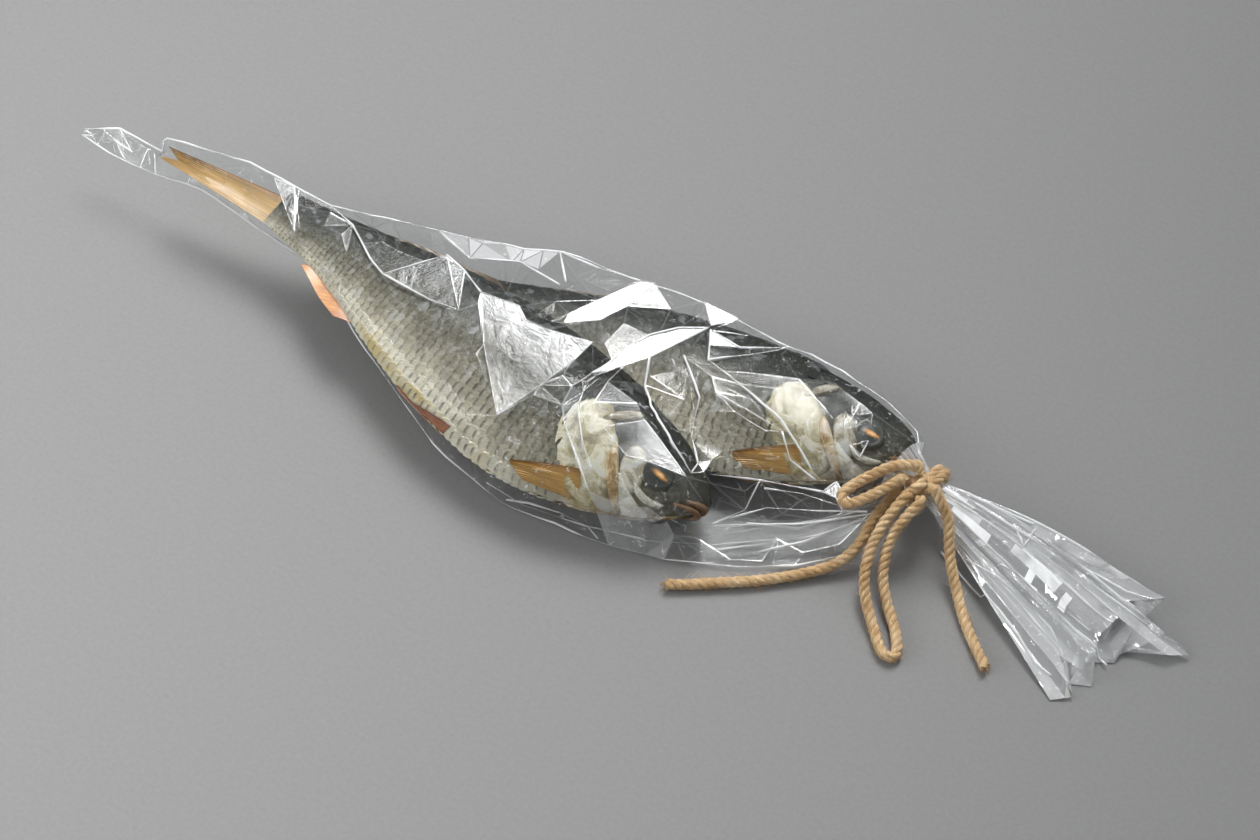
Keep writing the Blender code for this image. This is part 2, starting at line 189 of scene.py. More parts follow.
def reckoned(material, operation, *terms, kept=False):
    """One step of arithmetic on sockets and numbers. Kept means kept between 0 and 1."""
    settings = {"operation": operation, "use_clamp": kept}
    return add_node(material, "ShaderNodeMath", settings, dict(enumerate(terms))).outputs[0]


def ranged(material, value, low, high, to_low=0.0, to_high=1.0, smooth=False):
    """A value turned from one range to another, and kept inside it."""
    settings = {"interpolation_type": "SMOOTHSTEP" if smooth else "LINEAR"}
    inputs = {
        "Value": value, "From Min": low, "From Max": high, "To Min": to_low, "To Max": to_high,
    }
    return add_node(material, "ShaderNodeMapRange", settings, inputs).outputs["Result"]


def grain(material, places, scale, detail, roughness=0.5, distortion=0.0):
    """Soft noise over places. The scale is how many of its grains fit into one unit of them."""
    inputs = {
        "Vector": places, "Scale": scale, "Detail": detail, "Roughness": roughness,
        "Distortion": distortion,
    }
    return add_node(material, "ShaderNodeTexNoise", None, inputs).outputs["Fac"]


def ramp(material, value, *stops):
    """Colours by a value. Each stop is a value and its colour's sRGB code."""
    return add_node(material, "ShaderNodeValToRGB", {"stops": stops}, {"Fac": value}).outputs["Color"]


def mixed(material, share, first, second, blend="MIX"):
    """Two colours mixed or blended by the second one's share. An sRGB code is one too."""
    first, second = (linear_colour(c) if isinstance(c, str) else c for c in (first, second))
    settings = {"data_type": "RGBA", "blend_type": blend}
    return add_node(material, "ShaderNodeMix", settings, {0: share, 6: first, 7: second}).outputs[2]


def bumped(material, height, strength, metres, below=None):
    """Shading as if the surface rose by a height, on top of another such relief."""
    inputs = {"Height": height, "Strength": strength, "Distance": metres}
    if below:
        inputs["Normal"] = below
    return add_node(material, "ShaderNodeBump", None, inputs).outputs[0]


def surface(material, inputs, kind="ShaderNodeBsdfPrincipled"):
    """The shader that the material ends in."""
    shader = add_node(material, kind, None, inputs)
    add_node(material, "ShaderNodeOutputMaterial", None, {"Surface": shader.outputs[0]})


def smooth_route(points, spacing):
    """Points at even spacing on a Catmull-Rom curve through the given points."""
    ends = [points[0] * 2 - points[1], *points, points[-1] * 2 - points[-2]]
    fine = []
    for a, b, c, d in zip(ends, ends[1:], ends[2:], ends[3:]):
        for i in range(FINE_STEPS):
            t = i / FINE_STEPS
            bend = (a * 2 - b * 5 + c * 4 - d) * t**2 + (b * 3 - a - c * 3 + d) * t**3
            fine.append((b * 2 + (c - a) * t + bend) / 2)
    fine.append(points[-1])
    total = sum((q - p).length for p, q in zip(fine, fine[1:]))
    count = max(2, round(total / spacing))
    route, done, goal = [fine[0]], 0.0, total / count
    for p, q in zip(fine, fine[1:]):
        step = (q - p).length
        while done + step >= goal and len(route) < count:
            route.append(p.lerp(q, (goal - done) / step))
            goal += total / count
        done += step
    return route + [points[-1]]


def carried_frames(points):
    """The direction, and two directions across it that don't twist, at each point of a line."""
    frames = []
    across = None
    for i, point in enumerate(points):
        ahead = points[min(i + 1, len(points) - 1)] - points[max(i - 1, 0)]
        ahead.normalize()
        if across is None:
            across = ahead.orthogonal().normalized()
        across = (across - ahead * across.dot(ahead)).normalized()
        frames.append((ahead, across, ahead.cross(across)))
    return frames


def skin_between(bm, loops):
    """Faces between each closed loop of points and the next."""
    for loop, following in zip(loops, loops[1:]):
        for k in range(len(loop)):
            j = (k + 1) % len(loop)
            bm.faces.new((loop[k], loop[j], following[j], following[k]))


def sweep(bm, points, radii, sides, along, kind):
    """A closed tube along points. Its lay attribute holds how far along it is, its turn, and
    what kind of strand it is."""
    lay = bm.verts.layers.float_vector.get("lay") or bm.verts.layers.float_vector.new("lay")
    loops = []
    for i, (point, (ahead, across, up)) in enumerate(zip(points, carried_frames(points))):
        loop = []
        for k in range(sides):
            angle = 2 * math.pi * k / sides
            place = point + (across * math.cos(angle) + up * math.sin(angle)) * radii[i]
            vert = bm.verts.new(place * MM)
            vert[lay] = (along[i], math.cos(angle), kind)
            loop.append(vert)
        loops.append(loop)
    skin_between(bm, loops)
    bm.faces.new(reversed(loops[0]))
    bm.faces.new(loops[-1])


def finished(name, bm, material, smooth_degrees=40):
    """The bmesh as a finished piece at the origin, riding on the pack."""
    mesh = bpy.data.meshes.new(name)
    bm.to_mesh(mesh)
    bm.free()
    mesh.materials.append(material)
    mesh.shade_smooth()
    mesh.set_sharp_from_angle(angle=math.radians(smooth_degrees))
    piece = bpy.data.objects.new(name, mesh)
    bpy.context.scene.collection.objects.link(piece)
    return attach(piece, "root")


def at_least(place, lowest):
    """The place, or the one straight over it at the lowest height allowed."""
    return Vector((place.x, place.y, max(lowest, place.z)))


def loose_fibre(bm, points, thickness):
    """A thin fibre that tapers as the shares say, and doesn't sink into the floor."""
    points = [at_least(point, FIBRE_LOWEST) for point in points]
    radii = [FIBRE_RADIUS * share for share in thickness]
    sweep(bm, points, radii, 3, range(len(points)), 1.0)


def laid_twine(bm, route, seed, frayed_ends=()):
    """Three plies laid round a route, with loose fibres, and a tuft at each frayed end."""
    chance = random.Random(seed)
    centre = smooth_route(route, PLY_STEP)
    frames = carried_frames(centre)
    for ply in range(3):
        line = []
        radii = []
        for i, (point, (ahead, across, up)) in enumerate(zip(centre, frames)):
            angle = 2 * math.pi * (i * PLY_STEP / PLY_PITCH + ply / 3)
            line.append(point + (across * math.cos(angle) + up * math.sin(angle)) * PLY_OFFSET)
            uneven = 0.09 * math.sin(i * 0.31 + ply * 2) + chance.uniform(-0.04, 0.04)
            radii.append(PLY_RADIUS * (1 + uneven))
        distances = [i * PLY_STEP for i in range(len(line))]
        sweep(bm, line, radii, PLY_SIDES, distances, 0.0)
    for _ in range(int(len(centre) * FIBRES_A_STEP)):
        i = chance.randrange(2, len(centre) - 2)
        ahead, across, up = frames[i]
        angle = chance.uniform(0, 2 * math.pi)
        outward = across * math.cos(angle) + up * math.sin(angle)
        start = centre[i] + outward * PLY_REACH * 0.7
        drift = (ahead * chance.choice((-1, 1)) + across * chance.uniform(-0.8, 0.8)).normalized()
        length = chance.uniform(*FIBRE_LENGTHS)
        rise = chance.uniform(*FIBRE_RISES)
        hair = []
        for t in (0, 0.3, 0.65, 1):
            hair.append(start + drift * length * t + outward * length * rise * t * (1.6 - t))
        loose_fibre(bm, hair, (1, 1, 0.8, 0.3))
    for end in frayed_ends:
        tip = centre[end]
        outward = frames[end][0] * (1 if end else -1)
        for _ in range(TUFT_FIBRES):
            side = Vector([chance.uniform(-1, 1) for _ in range(3)])
            start = tip - outward * 0.8 + side * 0.9
            fan = (outward + side * 0.55).normalized()
            length = chance.uniform(*TUFT_LENGTHS)
            hair = [start + fan * length * t + Vector((0, 0, -0.3 * t * t)) for t in (0, 0.4, 1)]
            loose_fibre(bm, hair, (1.5, 1.3, 0.4))


def knot_exit(direction):
    """Two points straight out of the knot: where a strand starts, and where it begins to bend."""
    azimuth, elevation = (math.radians(value) for value in direction)
    flat = math.cos(elevation)
    outward = Vector((math.cos(azimuth) * flat, math.sin(azimuth) * flat, math.sin(elevation)))
    start = KNOT_CENTRE + outward * (KNOT_RADIUS + KNOT_GAP)
    return [start, start + outward * STRAIGHT_LEAVE]


def strand_route(leaving, passing, returning):
    """A strand's whole line, as its solid has it."""
    start, straight = knot_exit(leaving)
    ends = knot_exit(returning)[::-1] if returning else [Vector(passing[-1])]
    middle = passing if returning else passing[:-1]
    points = [straight, *(Vector(point) for point in middle), ends[0]]
    route = [start, *smooth_route(points, STRAND_SPACING), *ends[1:]]
    return [at_least(point, TWINE_DIAMETER / 2 + STRAND_REST) for point in route]


# Jute is a dull golden brown bast fibre, paler where it is lit and darker between the plies.
jute = new_material("jute_fibre")
jute_lay = own_attribute(jute, "lay")
jute_lines = grain(jute, multiplied(jute, jute_lay, (0.35, 4.5, 1.0)), 1.6, 5.0, 0.7)
jute_patches = grain(jute, own_places(jute), 170.0, 2.0)
jute_tone = ramp(
    jute, reckoned(jute, "MULTIPLY_ADD", jute_patches, 0.45, jute_lines),
    (0.42, "#7c5c38"), (0.56, "#b18a5b"), (0.70, "#cfac7d"), (0.90, "#ead2ab"),
)
surface(jute, {
    "Base Color": jute_tone, "Roughness": 0.86, "Specular IOR Level": 0.25, "Sheen Weight": 0.25,
    "Sheen Roughness": 0.5, "Normal": bumped(jute, jute_lines, 0.8, 0.0004),
})

for order, (name, (leaving, passing, returning)) in enumerate(STRANDS.items()):
    route = strand_route(leaving, passing, returning)
    strand_mesh = bmesh.new()
    laid_twine(strand_mesh, route, 11 + order, () if returning else (-1,))
    strand = finished(name + "_twine", strand_mesh, jute)
    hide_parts(name)


# The winding: two turns of the same twine round the gathered neck, pulled tight, and the bow's
# knot on their upper front, where the loops cross.
NECK_CENTRE = Vector((87.0, 19.0, 9.4))
NECK_AXIS = Vector((1.0, -0.17, -0.10)).normalized()
NECK_RADIUS = 3.9
WRAP_RADIUS = NECK_RADIUS + KNOT_GAP + TWINE_DIAMETER / 2
WRAP_PITCH = 3.0
WRAP_STEPS, WRAP_STEP_DEGREES = 72, 10.5
KNOT_STEPS = 36

neck_up = (Vector((0, 0, 1)) - NECK_AXIS * NECK_AXIS.z).normalized()
neck_far = neck_up.cross(NECK_AXIS)


def round_neck(angle):
    """The way out of the neck at an angle, from its far side towards its top."""
    return neck_far * math.cos(angle) + neck_up * math.sin(angle)


winding_mesh = bmesh.new()
winding_route = []
for i in range(WRAP_STEPS + 1):
    shift = NECK_AXIS * WRAP_PITCH * (i / WRAP_STEPS - 0.5) * 1.15
    outward = round_neck(math.radians(90 + i * WRAP_STEP_DEGREES))
    winding_route.append(NECK_CENTRE + shift + outward * WRAP_RADIUS)
laid_twine(winding_mesh, winding_route, 31)
knot_route = []
knot_turn = Matrix.Rotation(math.radians(35), 3, "Z") @ Matrix.Rotation(math.radians(-38), 3, "X")
for i in range(KNOT_STEPS + 1):
    angle = 2 * math.pi * i / KNOT_STEPS
    spread = 1.75 + 0.95 * math.cos(3 * angle)
    point = Vector((spread * math.cos(2 * angle), spread * math.sin(2 * angle), 1.2 * math.sin(3 * angle)))
    knot_route.append(KNOT_CENTRE + knot_turn @ point)
laid_twine(winding_mesh, knot_route, 37)
winding = finished("twine_winding_and_knot", winding_mesh, jute)
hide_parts("twine_wrap")


# The fish: two roach, gutted, salted and dried whole. Dried skin lies tight on the flesh, and a
# little shrunken along the back. One lies on the other, both with the right flank up. Shares
# are of the length from the nose to the tail base: how far back, then the height over the axis.
FISH_STATIONS = (  # share of the length, then the back's height, the belly's and the half width
    (0.00, 0.012, -0.014, 0.010),
    (0.03, 0.038, -0.045, 0.028),
    (0.09, 0.070, -0.088, 0.044),
    (0.16, 0.091, -0.125, 0.054),
    (0.24, 0.108, -0.155, 0.060),
    (0.31, 0.115, -0.168, 0.062),
    (0.38, 0.119, -0.170, 0.062),
    (0.50, 0.115, -0.152, 0.058),
    (0.60, 0.106, -0.127, 0.049),
    (0.68, 0.092, -0.100, 0.039),
    (0.77, 0.075, -0.068, 0.029),
    (0.85, 0.060, -0.047, 0.020),
    (0.93, 0.047, -0.036, 0.012),
    (1.00, 0.037, -0.032, 0.008),
    (1.09, 0.022, -0.028, 0.005),
    (1.205, -0.010, -0.044, 0.004),
)
BODY_END = 0.96
BODY_RINGS = 104
BODY_SIDES = 52
WRINKLE_DEPTH = 0.32
FURROW_HEIGHT, FURROW_WIDTH, FURROW_DEPTH = 0.52, 0.13, 0.5  # where the back has shrunk
FLATTENED = 0.12  # what the floor leaves between itself and a hidden flank
LIP_POINTS = 13  # from one corner of the mouth to the other, 15 degrees apart
LIP_MARK = -0.1  # stands for the lips, in place of a share of the length


def fish_frame(nose, tail, roll_degrees):
    """The nose, the line to the tail base, its length, and the ways to the back and out of the
    shown flank."""
    along = tail - nose
    forward = -along.normalized()
    back = Vector((0, 0, 1)).cross(forward).normalized()
    turn = Matrix.Rotation(-math.radians(roll_degrees), 3, forward)
    return nose, along, along.length, turn @ back, turn @ forward.cross(back)


FISHES = {
    "front": fish_frame(Vector((41.8, -16.6, 12.0)), Vector((-110.1, 1.1, 19.0)), -4),
    "rear": fish_frame(Vector((80.5, 26.3, 9.7)), Vector((-64.0, 5.8, 7.2)), 2),
}


def station_at(share):
    """The back's height, the belly's height and the half width, smoothly between stations."""
    last = len(FISH_STATIONS) - 1
    i = max(k for k in range(last) if FISH_STATIONS[k][0] <= max(0.0, share))
    before, a, b, after = (FISH_STATIONS[min(max(k, 0), last)] for k in (i - 1, i, i + 1, i + 2))
    span = b[0] - a[0]
    t = min(1.0, max(0.0, (share - a[0]) / span))
    values = []
    for k in (1, 2, 3):
        leaving = (b[k] - before[k]) / (b[0] - before[0]) * span
        arriving = (after[k] - a[k]) / (after[0] - a[0]) * span
        bend = (3 * (b[k] - a[k]) - 2 * leaving - arriving) * t**2
        values.append(a[k] + leaving * t + bend + (2 * (a[k] - b[k]) + leaving + arriving) * t**3)
    return values


def section_width(half_width, across):
    """The half width at a height: across runs from -1 at the belly's edge to 1 at the back's."""
    edge = max(0.0, 1.0 - across * across)
    return half_width * math.sqrt(edge) ** (1.1 - 0.25 * across)


def across_at(share, height):
    back, belly, _ = station_at(share)
    return min(0.995, max(-0.995, (2 * height - back - belly) / (back - belly)))


def bare_point(fish, share, across, side):
    """A point on the flesh: side is 1 on the shown flank and -1 on the hidden one."""
    nose, along, length, to_back, outward = fish
    back, belly, half_width = station_at(share)
    height = (back + belly) / 2 + (back - belly) / 2 * across
    out = section_width(half_width, across) * side
    return nose + along * share + to_back * height * length + outward * out * length


def pressed(place):
    """The place, or where the floor flattens the hidden flank against the film under it."""
    return at_least(place, FLATTENED)


def skin_frame(fish, share, across, side):
    """A point of the skin with the ways to the tail, to the back and straight out of it."""
    place = bare_point(fish, share, across, side)
    to_tail = bare_point(fish, share + 0.006, across, side) - bare_point(fish, share - 0.006, across, side)
    to_tail.normalize()
    high, low = min(0.99, across + 0.03), max(-0.99, across - 0.03)
    to_back = bare_point(fish, share, high, side) - bare_point(fish, share, low, side)
    outward = to_back.cross(to_tail).normalized() * side
    return place, to_tail, outward.cross(to_tail) * side, outward


def skin_layers(bm):
    """Attributes of a fish's surface: where on the fish it is, and where on its own plate."""
    layers = bm.verts.layers.float_vector
    return (layers.get("skin") or layers.new("skin")), (layers.get("plate") or layers.new("plate"))


def dry_relief(share, across, layer):
    """How far the dried skin stands out of the flesh: coarse and fine wrinkles, and a furrow that
    runs along the back from behind the head. All of it fades towards both ends."""
    coarse = noise.noise(Vector((share * 34, across * 5, layer)))
    fine = noise.noise(Vector((share * 110, across * 16, layer)))
    furrow = FURROW_DEPTH * math.exp(-((across - FURROW_HEIGHT) / FURROW_WIDTH) ** 2)
    furrow *= min(1.0, max(0.0, share - 0.2) * 6)
    fade = min(1.0, share * 12, (BODY_END - share) * 12)
    return (coarse * WRINKLE_DEPTH + fine * WRINKLE_DEPTH * 0.35 - furrow) * fade


def fish_body(name, fish, seed, material):
    """The flesh in its skin: rings through the stations, with dry wrinkles, closed at both ends."""
    bm = bmesh.new()
    skin, _ = skin_layers(bm)
    loops = []
    for i in range(BODY_RINGS + 1):
        share = BODY_END * (i / BODY_RINGS) ** 1.15
        loop = []
        for k in range(BODY_SIDES):
            angle = 2 * math.pi * (k + 0.5) / BODY_SIDES
            across = math.cos(angle)
            side = 1 if math.sin(angle) > 0 else -1
            place, to_tail, to_back, outward = skin_frame(fish, share, across, side)
            thickness = min(1.0, (BODY_END - share) / 0.06 + 0.02) ** 0.5
            place = bare_point(fish, share, across, 0).lerp(place, thickness)
            lift = dry_relief(share, across, side + seed)
            vert = bm.verts.new(pressed(place + outward * lift) * MM)
            vert[skin] = (share, across, side)
            loop.append(vert)
        loops.append(loop)
    skin_between(bm, loops)
    ends = [bm.faces.new(loop) for loop in (loops[0], loops[-1])]
    bm.normal_update()
    bmesh.ops.recalc_face_normals(bm, faces=bm.faces)
    bmesh.ops.poke(bm, faces=ends)
    lips(bm, fish, skin)
    return finished(name, bm, material, 60)


def lips(bm, fish, skin):
    """Thin lips round the small mouth, which opens a little below the snout's tip."""
    nose, along, length, to_back, outward = fish
    for rise, reach, radius in ((-0.009, 0.000, 1.05), (-0.023, 0.004, 0.95)):
        line = []
        for i in range(LIP_POINTS):
            angle = math.radians(-90 + 15 * i)
            share = reach + 0.040 * (1 - math.cos(angle)) ** 1.2
            height = rise - 0.016 * (1 - math.cos(angle))
            out = 0.021 * math.sin(angle)
            line.append(nose + along * share + (to_back * height + outward * out) * length)
        first = len(bm.verts)
        radii = [radius * (0.45 + 0.55 * math.sin(math.radians(15 * i))) for i in range(LIP_POINTS)]
        sweep(bm, line, radii, 8, [0.0] * LIP_POINTS, 0.0)
        bm.verts.ensure_lookup_table()
        for vert in bm.verts[first:]:
            vert[skin] = (LIP_MARK, -0.4, 1)


# Dried roach skin is a thin hard leather with an oily shine: dark olive over the back, silver
# grey on the flank and cream along the belly, with brown lips and a dark snout.
def skin_material(name, dark_edges, roughness, metal):
    """The skin's colours by place on the fish. Scales add a dark rear edge to each: partly their own dark
    margin, partly painted shade where each overlaps the next.
    """
    material = new_material(name)
    behind_nose, across, _ = parts_of(material, own_attribute(material, "skin"))
    places = own_places(material)
    darker_ends = reckoned(
        material, "ADD", ranged(material, behind_nose, 0.50, 0.08, 0.0, 0.46),
        ranged(material, behind_nose, 0.58, 0.90, 0.0, 0.34),
    )
    height = reckoned(
        material, "MULTIPLY_ADD", grain(material, places, 95.0, 3.0, 0.6), 0.62,
        reckoned(material, "ADD", across, darker_ends),
    )
    height = ranged(material, height, -0.69, 1.31)
    colour = ramp(
        material, height,
        (0.02, "#c9b883"), (0.09, "#ddd8c4"), (0.20, "#b0aa96"), (0.38, "#6e6a59"),
        (0.52, "#545246"), (0.63, "#3d3f37"), (0.73, "#2a2f29"), (0.9, "#171b16"),
    )
    snout = ranged(material, behind_nose, 0.085, 0.045, 0.0, 0.85, smooth=True)
    colour = mixed(material, snout, colour, "#33322a")
    lip = ranged(material, behind_nose, -0.03, -0.08)
    colour = mixed(material, lip, colour, "#6b4a2a")
    glints = grain(material, places, 420.0, 4.0, 0.7)
    # Over the flank, patches run from dark to pale blue-white. This is the silver's own mottle, with
    # painted glints of the silver where it is pale.
    silver_mottle_and_glints = ramp(
        material, glints, (0.34, "#47453b"), (0.48, "#7d7a6c"), (0.60, "#b2b2ae"), (0.72, "#e6ebf2"),
    )
    silver_share = ramp(
        material, height, (0.0, "#303030"), (0.3, "#808080"), (0.62, "#686868"), (0.80, "#181818"),
    )
    colour = mixed(material, silver_share, colour, silver_mottle_and_glints)
    if dark_edges:
        to_rear, to_side, gleam = parts_of(material, own_attribute(material, "plate"))
        # A few scales at random are painted pale blue-white. This is a painted glint, as of a scale that
        # catches the light.
        scale_glint_paint = ramp(material, gleam, (0.72, "#000000"), (0.90, "#303030"), (0.97, "#7c7c7c"))
        colour = mixed(material, scale_glint_paint, colour, "#d2d6da")
        # The dark rear edge is partly the scale's own dark margin and partly painted shade where it
        # overlies the next scale. Noise patches make it stronger in some places and fainter in others.
        rear_edge = ranged(material, to_rear, 0.42, 0.78, smooth=True)
        ends = ranged(material, reckoned(material, "ABSOLUTE", to_side), 0.85, 0.3, smooth=True)
        net_patches = ranged(material, grain(material, places, 75.0, 6.0, 0.75), 0.36, 0.62, 0.15, 0.85)
        stroke = reckoned(material, "MULTIPLY", reckoned(material, "MULTIPLY", rear_edge, ends), net_patches)
        colour = mixed(material, stroke, colour, "#3b392e")
    creasing = bumped(material, glints, 0.6, 0.0009)
    pores = grain(material, places, 900.0, 3.0)
    surface(material, {
        "Base Color": colour, "Metallic": metal, "Specular IOR Level": 0.3,
        "Roughness": ranged(material, glints, 0.3, 0.7, roughness + 0.14, roughness - 0.08),
        "Coat Weight": 0.06, "Coat Roughness": 0.3,
        "Normal": bumped(material, pores, 0.5, 0.0003, creasing),
    })
    return material


dried_skin = skin_material("dried_fish_skin", False, 0.48, 0.0)
for name, fish in FISHES.items():
    body = fish_body(name + "_roach_body", fish, 3.0 if name == "front" else 8.0, dried_skin)


# The scales: thin round horny plates, silvered on the inside, that overlap like roof tiles and
# are set in rows that are staggered by half a scale. Their rear edges lift as they dry.
SCALE_ROWS = 15
SCALE_PITCH = 0.0168
SCALE_REACH = 0.915  # half of a scale's length, as a share of the pitch
SCALE_SPREAD = 0.88  # half of its height, as a share of the row's
SCALE_RISE = 0.119
SCALE_THICKNESS = 0.9
SCALE_LOWEST = 0.06
SCALE_TILT = 8
FULL_DEPTH = 0.31  # the body's, as a share of its length, where scales are largest
SCALES_FROM, SCALES_TO = 0.235, 0.93  # shares of the length, from the gill cover to the tail

scale_plate = bmesh.new()
bmesh.ops.create_cone(scale_plate, cap_ends=True, segments=10, radius1=1, radius2=0.94, depth=0.5)
top = max(scale_plate.faces, key=lambda face: face.calc_center_median().z)
poked = bmesh.ops.poke(scale_plate, faces=[top], offset=0.12)
scale_plate_layer = scale_plate.verts.layers.float_vector.new("plate")
for vert in scale_plate.verts:
    vert[scale_plate_layer] = (vert.co.x, vert.co.y, 0.0)
    vert.co.z -= 0.18
one_scale = bpy.data.meshes.new("one_scale")
scale_plate.to_mesh(one_scale)
scale_plate.free()


def scaled_flank(bm, fish, side, seed):
    """Rows of scales on one flank, from the gill cover to the tail base."""
    chance = random.Random(seed)
    skin, plate = skin_layers(bm)
    length = fish[2]
    for row in range(SCALE_ROWS):
        across = 0.93 - 1.88 * row / (SCALE_ROWS - 1)
        share = SCALES_FROM + 0.02 * math.cos(across * 3) + SCALE_PITCH * 0.5 * (row % 2)
        while share < SCALES_TO:
            back, belly, _ = station_at(share)
            narrowing = ((back - belly) / FULL_DEPTH) ** 0.5
            pitch = SCALE_PITCH * narrowing
            row_height = (back - belly) * 0.94 / (SCALE_ROWS - 1) * length
            spot = share + pitch * chance.uniform(-0.10, 0.10)
            higher = across + chance.uniform(-0.012, 0.012)
            place, to_tail, to_back, outward = skin_frame(fish, spot, higher, side)
            lean = math.radians(SCALE_TILT + chance.uniform(-3, 4)) * side
            tilt = Matrix.Rotation(lean, 3, to_back)
            to_tail, out = tilt @ to_tail, tilt @ outward
            if to_tail.dot(outward) < 0:  # tilted into the flesh, so tilted back and out of it
                tilt.transpose()
                to_tail, out = tilt @ tilt @ to_tail, tilt @ tilt @ out
            half_long = pitch * length * SCALE_REACH * chance.uniform(0.94, 1.06)
            half_high = row_height * SCALE_SPREAD * chance.uniform(0.95, 1.05)
            middle = place + to_tail * half_long * 0.3 + outward * SCALE_RISE
            first = len(bm.verts)
            bm.from_mesh(one_scale)
            bm.verts.ensure_lookup_table()
            gleam = chance.random()
            axes = (to_tail * half_long, to_back * half_high, out * SCALE_THICKNESS)
            seat = Matrix.Translation(middle * MM) @ (Matrix(axes).transposed() * MM).to_4x4()
            for vert in bm.verts[first:]:
                vert.co = seat @ vert.co
                vert.co.z = max(SCALE_LOWEST * MM, vert.co.z)
                vert[skin] = (share, across + chance.uniform(-0.02, 0.02), side)
                vert[plate] = (vert[plate].x, vert[plate].y * side, gleam)
            share += pitch


scale_horn = skin_material("silvered_scale_horn", True, 0.46, 0.08)
for name, fish in FISHES.items():
    scales_mesh = bmesh.new()
    skin_layers(scales_mesh)
    scaled_flank(scales_mesh, fish, 1, 5)
    scaled_flank(scales_mesh, fish, -1, 6)
    scales_mesh.normal_update()
    bmesh.ops.recalc_face_normals(scales_mesh, faces=scales_mesh.faces)
    scales = finished(name + "_roach_scales", scales_mesh, scale_horn, 50)
bpy.data.meshes.remove(one_scale)


# The head's bones: a broad gill cover, the bow-shaped bone before it, the cheek and the bright
# crescent under the eye. Each is a thin plate with a soft edge, on the skin of the head.
HEAD_PLATES = {  # middle line, half width, how far it stands out, tone
    "gill_cover": (((0.224, 0.034), (0.224, -0.045), (0.130, -0.108)), 0.058, 0.6, 0.10),
    "lower_gill_bone": (((0.236, -0.096), (0.186, -0.124), (0.120, -0.122)), 0.015, 0.7, 0.30),
    "bow_bone": (((0.176, -0.020), (0.155, -0.062), (0.108, -0.106)), 0.012, 1.2, 0.50),
    "cheek": (((0.148, 0.000), (0.128, -0.040), (0.112, -0.078)), 0.024, 0.9, 0.70),
    "outer_crescent": (((0.144, -0.040), (0.104, -0.086), (0.038, -0.068)), 0.014, 0.9, 0.90),
    "inner_crescent": (((0.128, -0.030), (0.099, -0.062), (0.052, -0.050)), 0.006, 0.8, 0.90),
    "jaw": (((0.176, -0.128), (0.100, -0.111), (0.020, -0.060)), 0.010, 0.8, 0.40),
    "nape_fold": (((0.226, -0.004), (0.200, 0.028), (0.172, 0.054)), 0.009, 0.9, 0.60),
}
PLATE_SIDES = 40
PLATE_INSETS = (0.03, 0.06, 0.09, 0.16, 0.20, 0.20)
EYE_CENTRE = (0.090, -0.020)
EYE_PROFILE = (  # distance from the eye's middle, then height over the head
    (4.3, -1.5), (4.28, -0.4), (4.12, 0.0), (3.8, 0.16), (3.3, 0.12), (2.4, 0.16), (1.6, 0.26),
    (0.8, 0.32), (0.0, 0.34),
)
EYE_REACH = 4.5
EYE_SIDES = 36
EYE_LIFT = 0.75


def seat_on_flank(fish, share, height, side, lift):
    """A point over the skin, from shares of the length."""
    place, _, _, outward = skin_frame(fish, share, across_at(share, height), side)
    return place + outward * lift


def gather(bm, small):
    """Moves a small bmesh, in millimetres, into the piece that it belongs to."""
    small.normal_update()
    bmesh.ops.recalc_face_normals(small, faces=small.faces)
    bmesh.ops.scale(small, vec=(MM, MM, MM), verts=small.verts)
    mesh = bpy.data.meshes.new("gathered")
    small.to_mesh(mesh)
    small.free()
    bm.from_mesh(mesh)
    bpy.data.meshes.remove(mesh)


def head_plate(bm, fish, side, line, half_width, lift, tone):
    """A plate along a bent middle line: a disc with rings set in, each point moved to the skin."""
    small = bmesh.new()
    skin, own = skin_layers(small)
    bmesh.ops.create_circle(small, cap_ends=True, segments=PLATE_SIDES, radius=1.0)
    face = small.faces[:][0]
    for reach in PLATE_INSETS:
        bmesh.ops.inset_individual(small, faces=[face], thickness=reach)
    bmesh.ops.poke(small, faces=[face])
    top, middle, low = (Vector(point) for point in line)
    for vert in small.verts:
        local = vert.co.xy.copy()
        radius = min(1.0, local.length)
        spot = middle + (low - top) * local.x / 2 + (top + low - middle * 2) * local.x**2 / 2
        heading = (low - top) / 2 + (top + low - middle * 2) * local.x
        spot += Vector((-heading.y, heading.x)).normalized() * local.y * half_width
        rise = lift * (1 - radius**9) + 0.25 * lift * (1 - radius * radius) - 0.5 * radius**30
        ridges = 0.10 * math.cos(radius * 24) * (0.3 + 0.7 * radius) * (radius < 0.97)
        vert[skin] = (spot.x, across_at(spot.x, spot.y), side)
        vert[own] = (local.x, local.y, tone)
        vert.co = pressed(seat_on_flank(fish, spot.x, spot.y, side, rise + ridges))
    gather(bm, small)


def eye(bm, fish, side):
    """A dried eyeball, sunken inside its ring: a profile spun round the line out of the head."""
    small = bmesh.new()
    skin, own = skin_layers(small)
    row = [small.verts.new((r, 0.0, z)) for r, z in EYE_PROFILE]
    edges = [small.edges.new(pair) for pair in zip(row, row[1:])]
    bmesh.ops.spin(
        small, geom=row + edges, axis=(0, 0, 1), cent=(0, 0, 0), steps=EYE_SIDES,
        angle=2 * math.pi, use_merge=True,
    )
    bmesh.ops.remove_doubles(small, verts=small.verts, dist=1e-4)
    share, height = EYE_CENTRE
    place, to_tail, to_back, outward = skin_frame(fish, share, across_at(share, height), side)
    axes = Matrix((to_tail, to_back, outward)).transposed().to_4x4()
    seat = Matrix.Translation(place + outward * EYE_LIFT) @ axes
    for vert in small.verts:
        vert[skin] = (share, across_at(share, height), side)
        vert[own] = (vert.co.x / EYE_REACH, vert.co.y / EYE_REACH, side)
        vert.co = seat @ vert.co
    gather(bm, small)


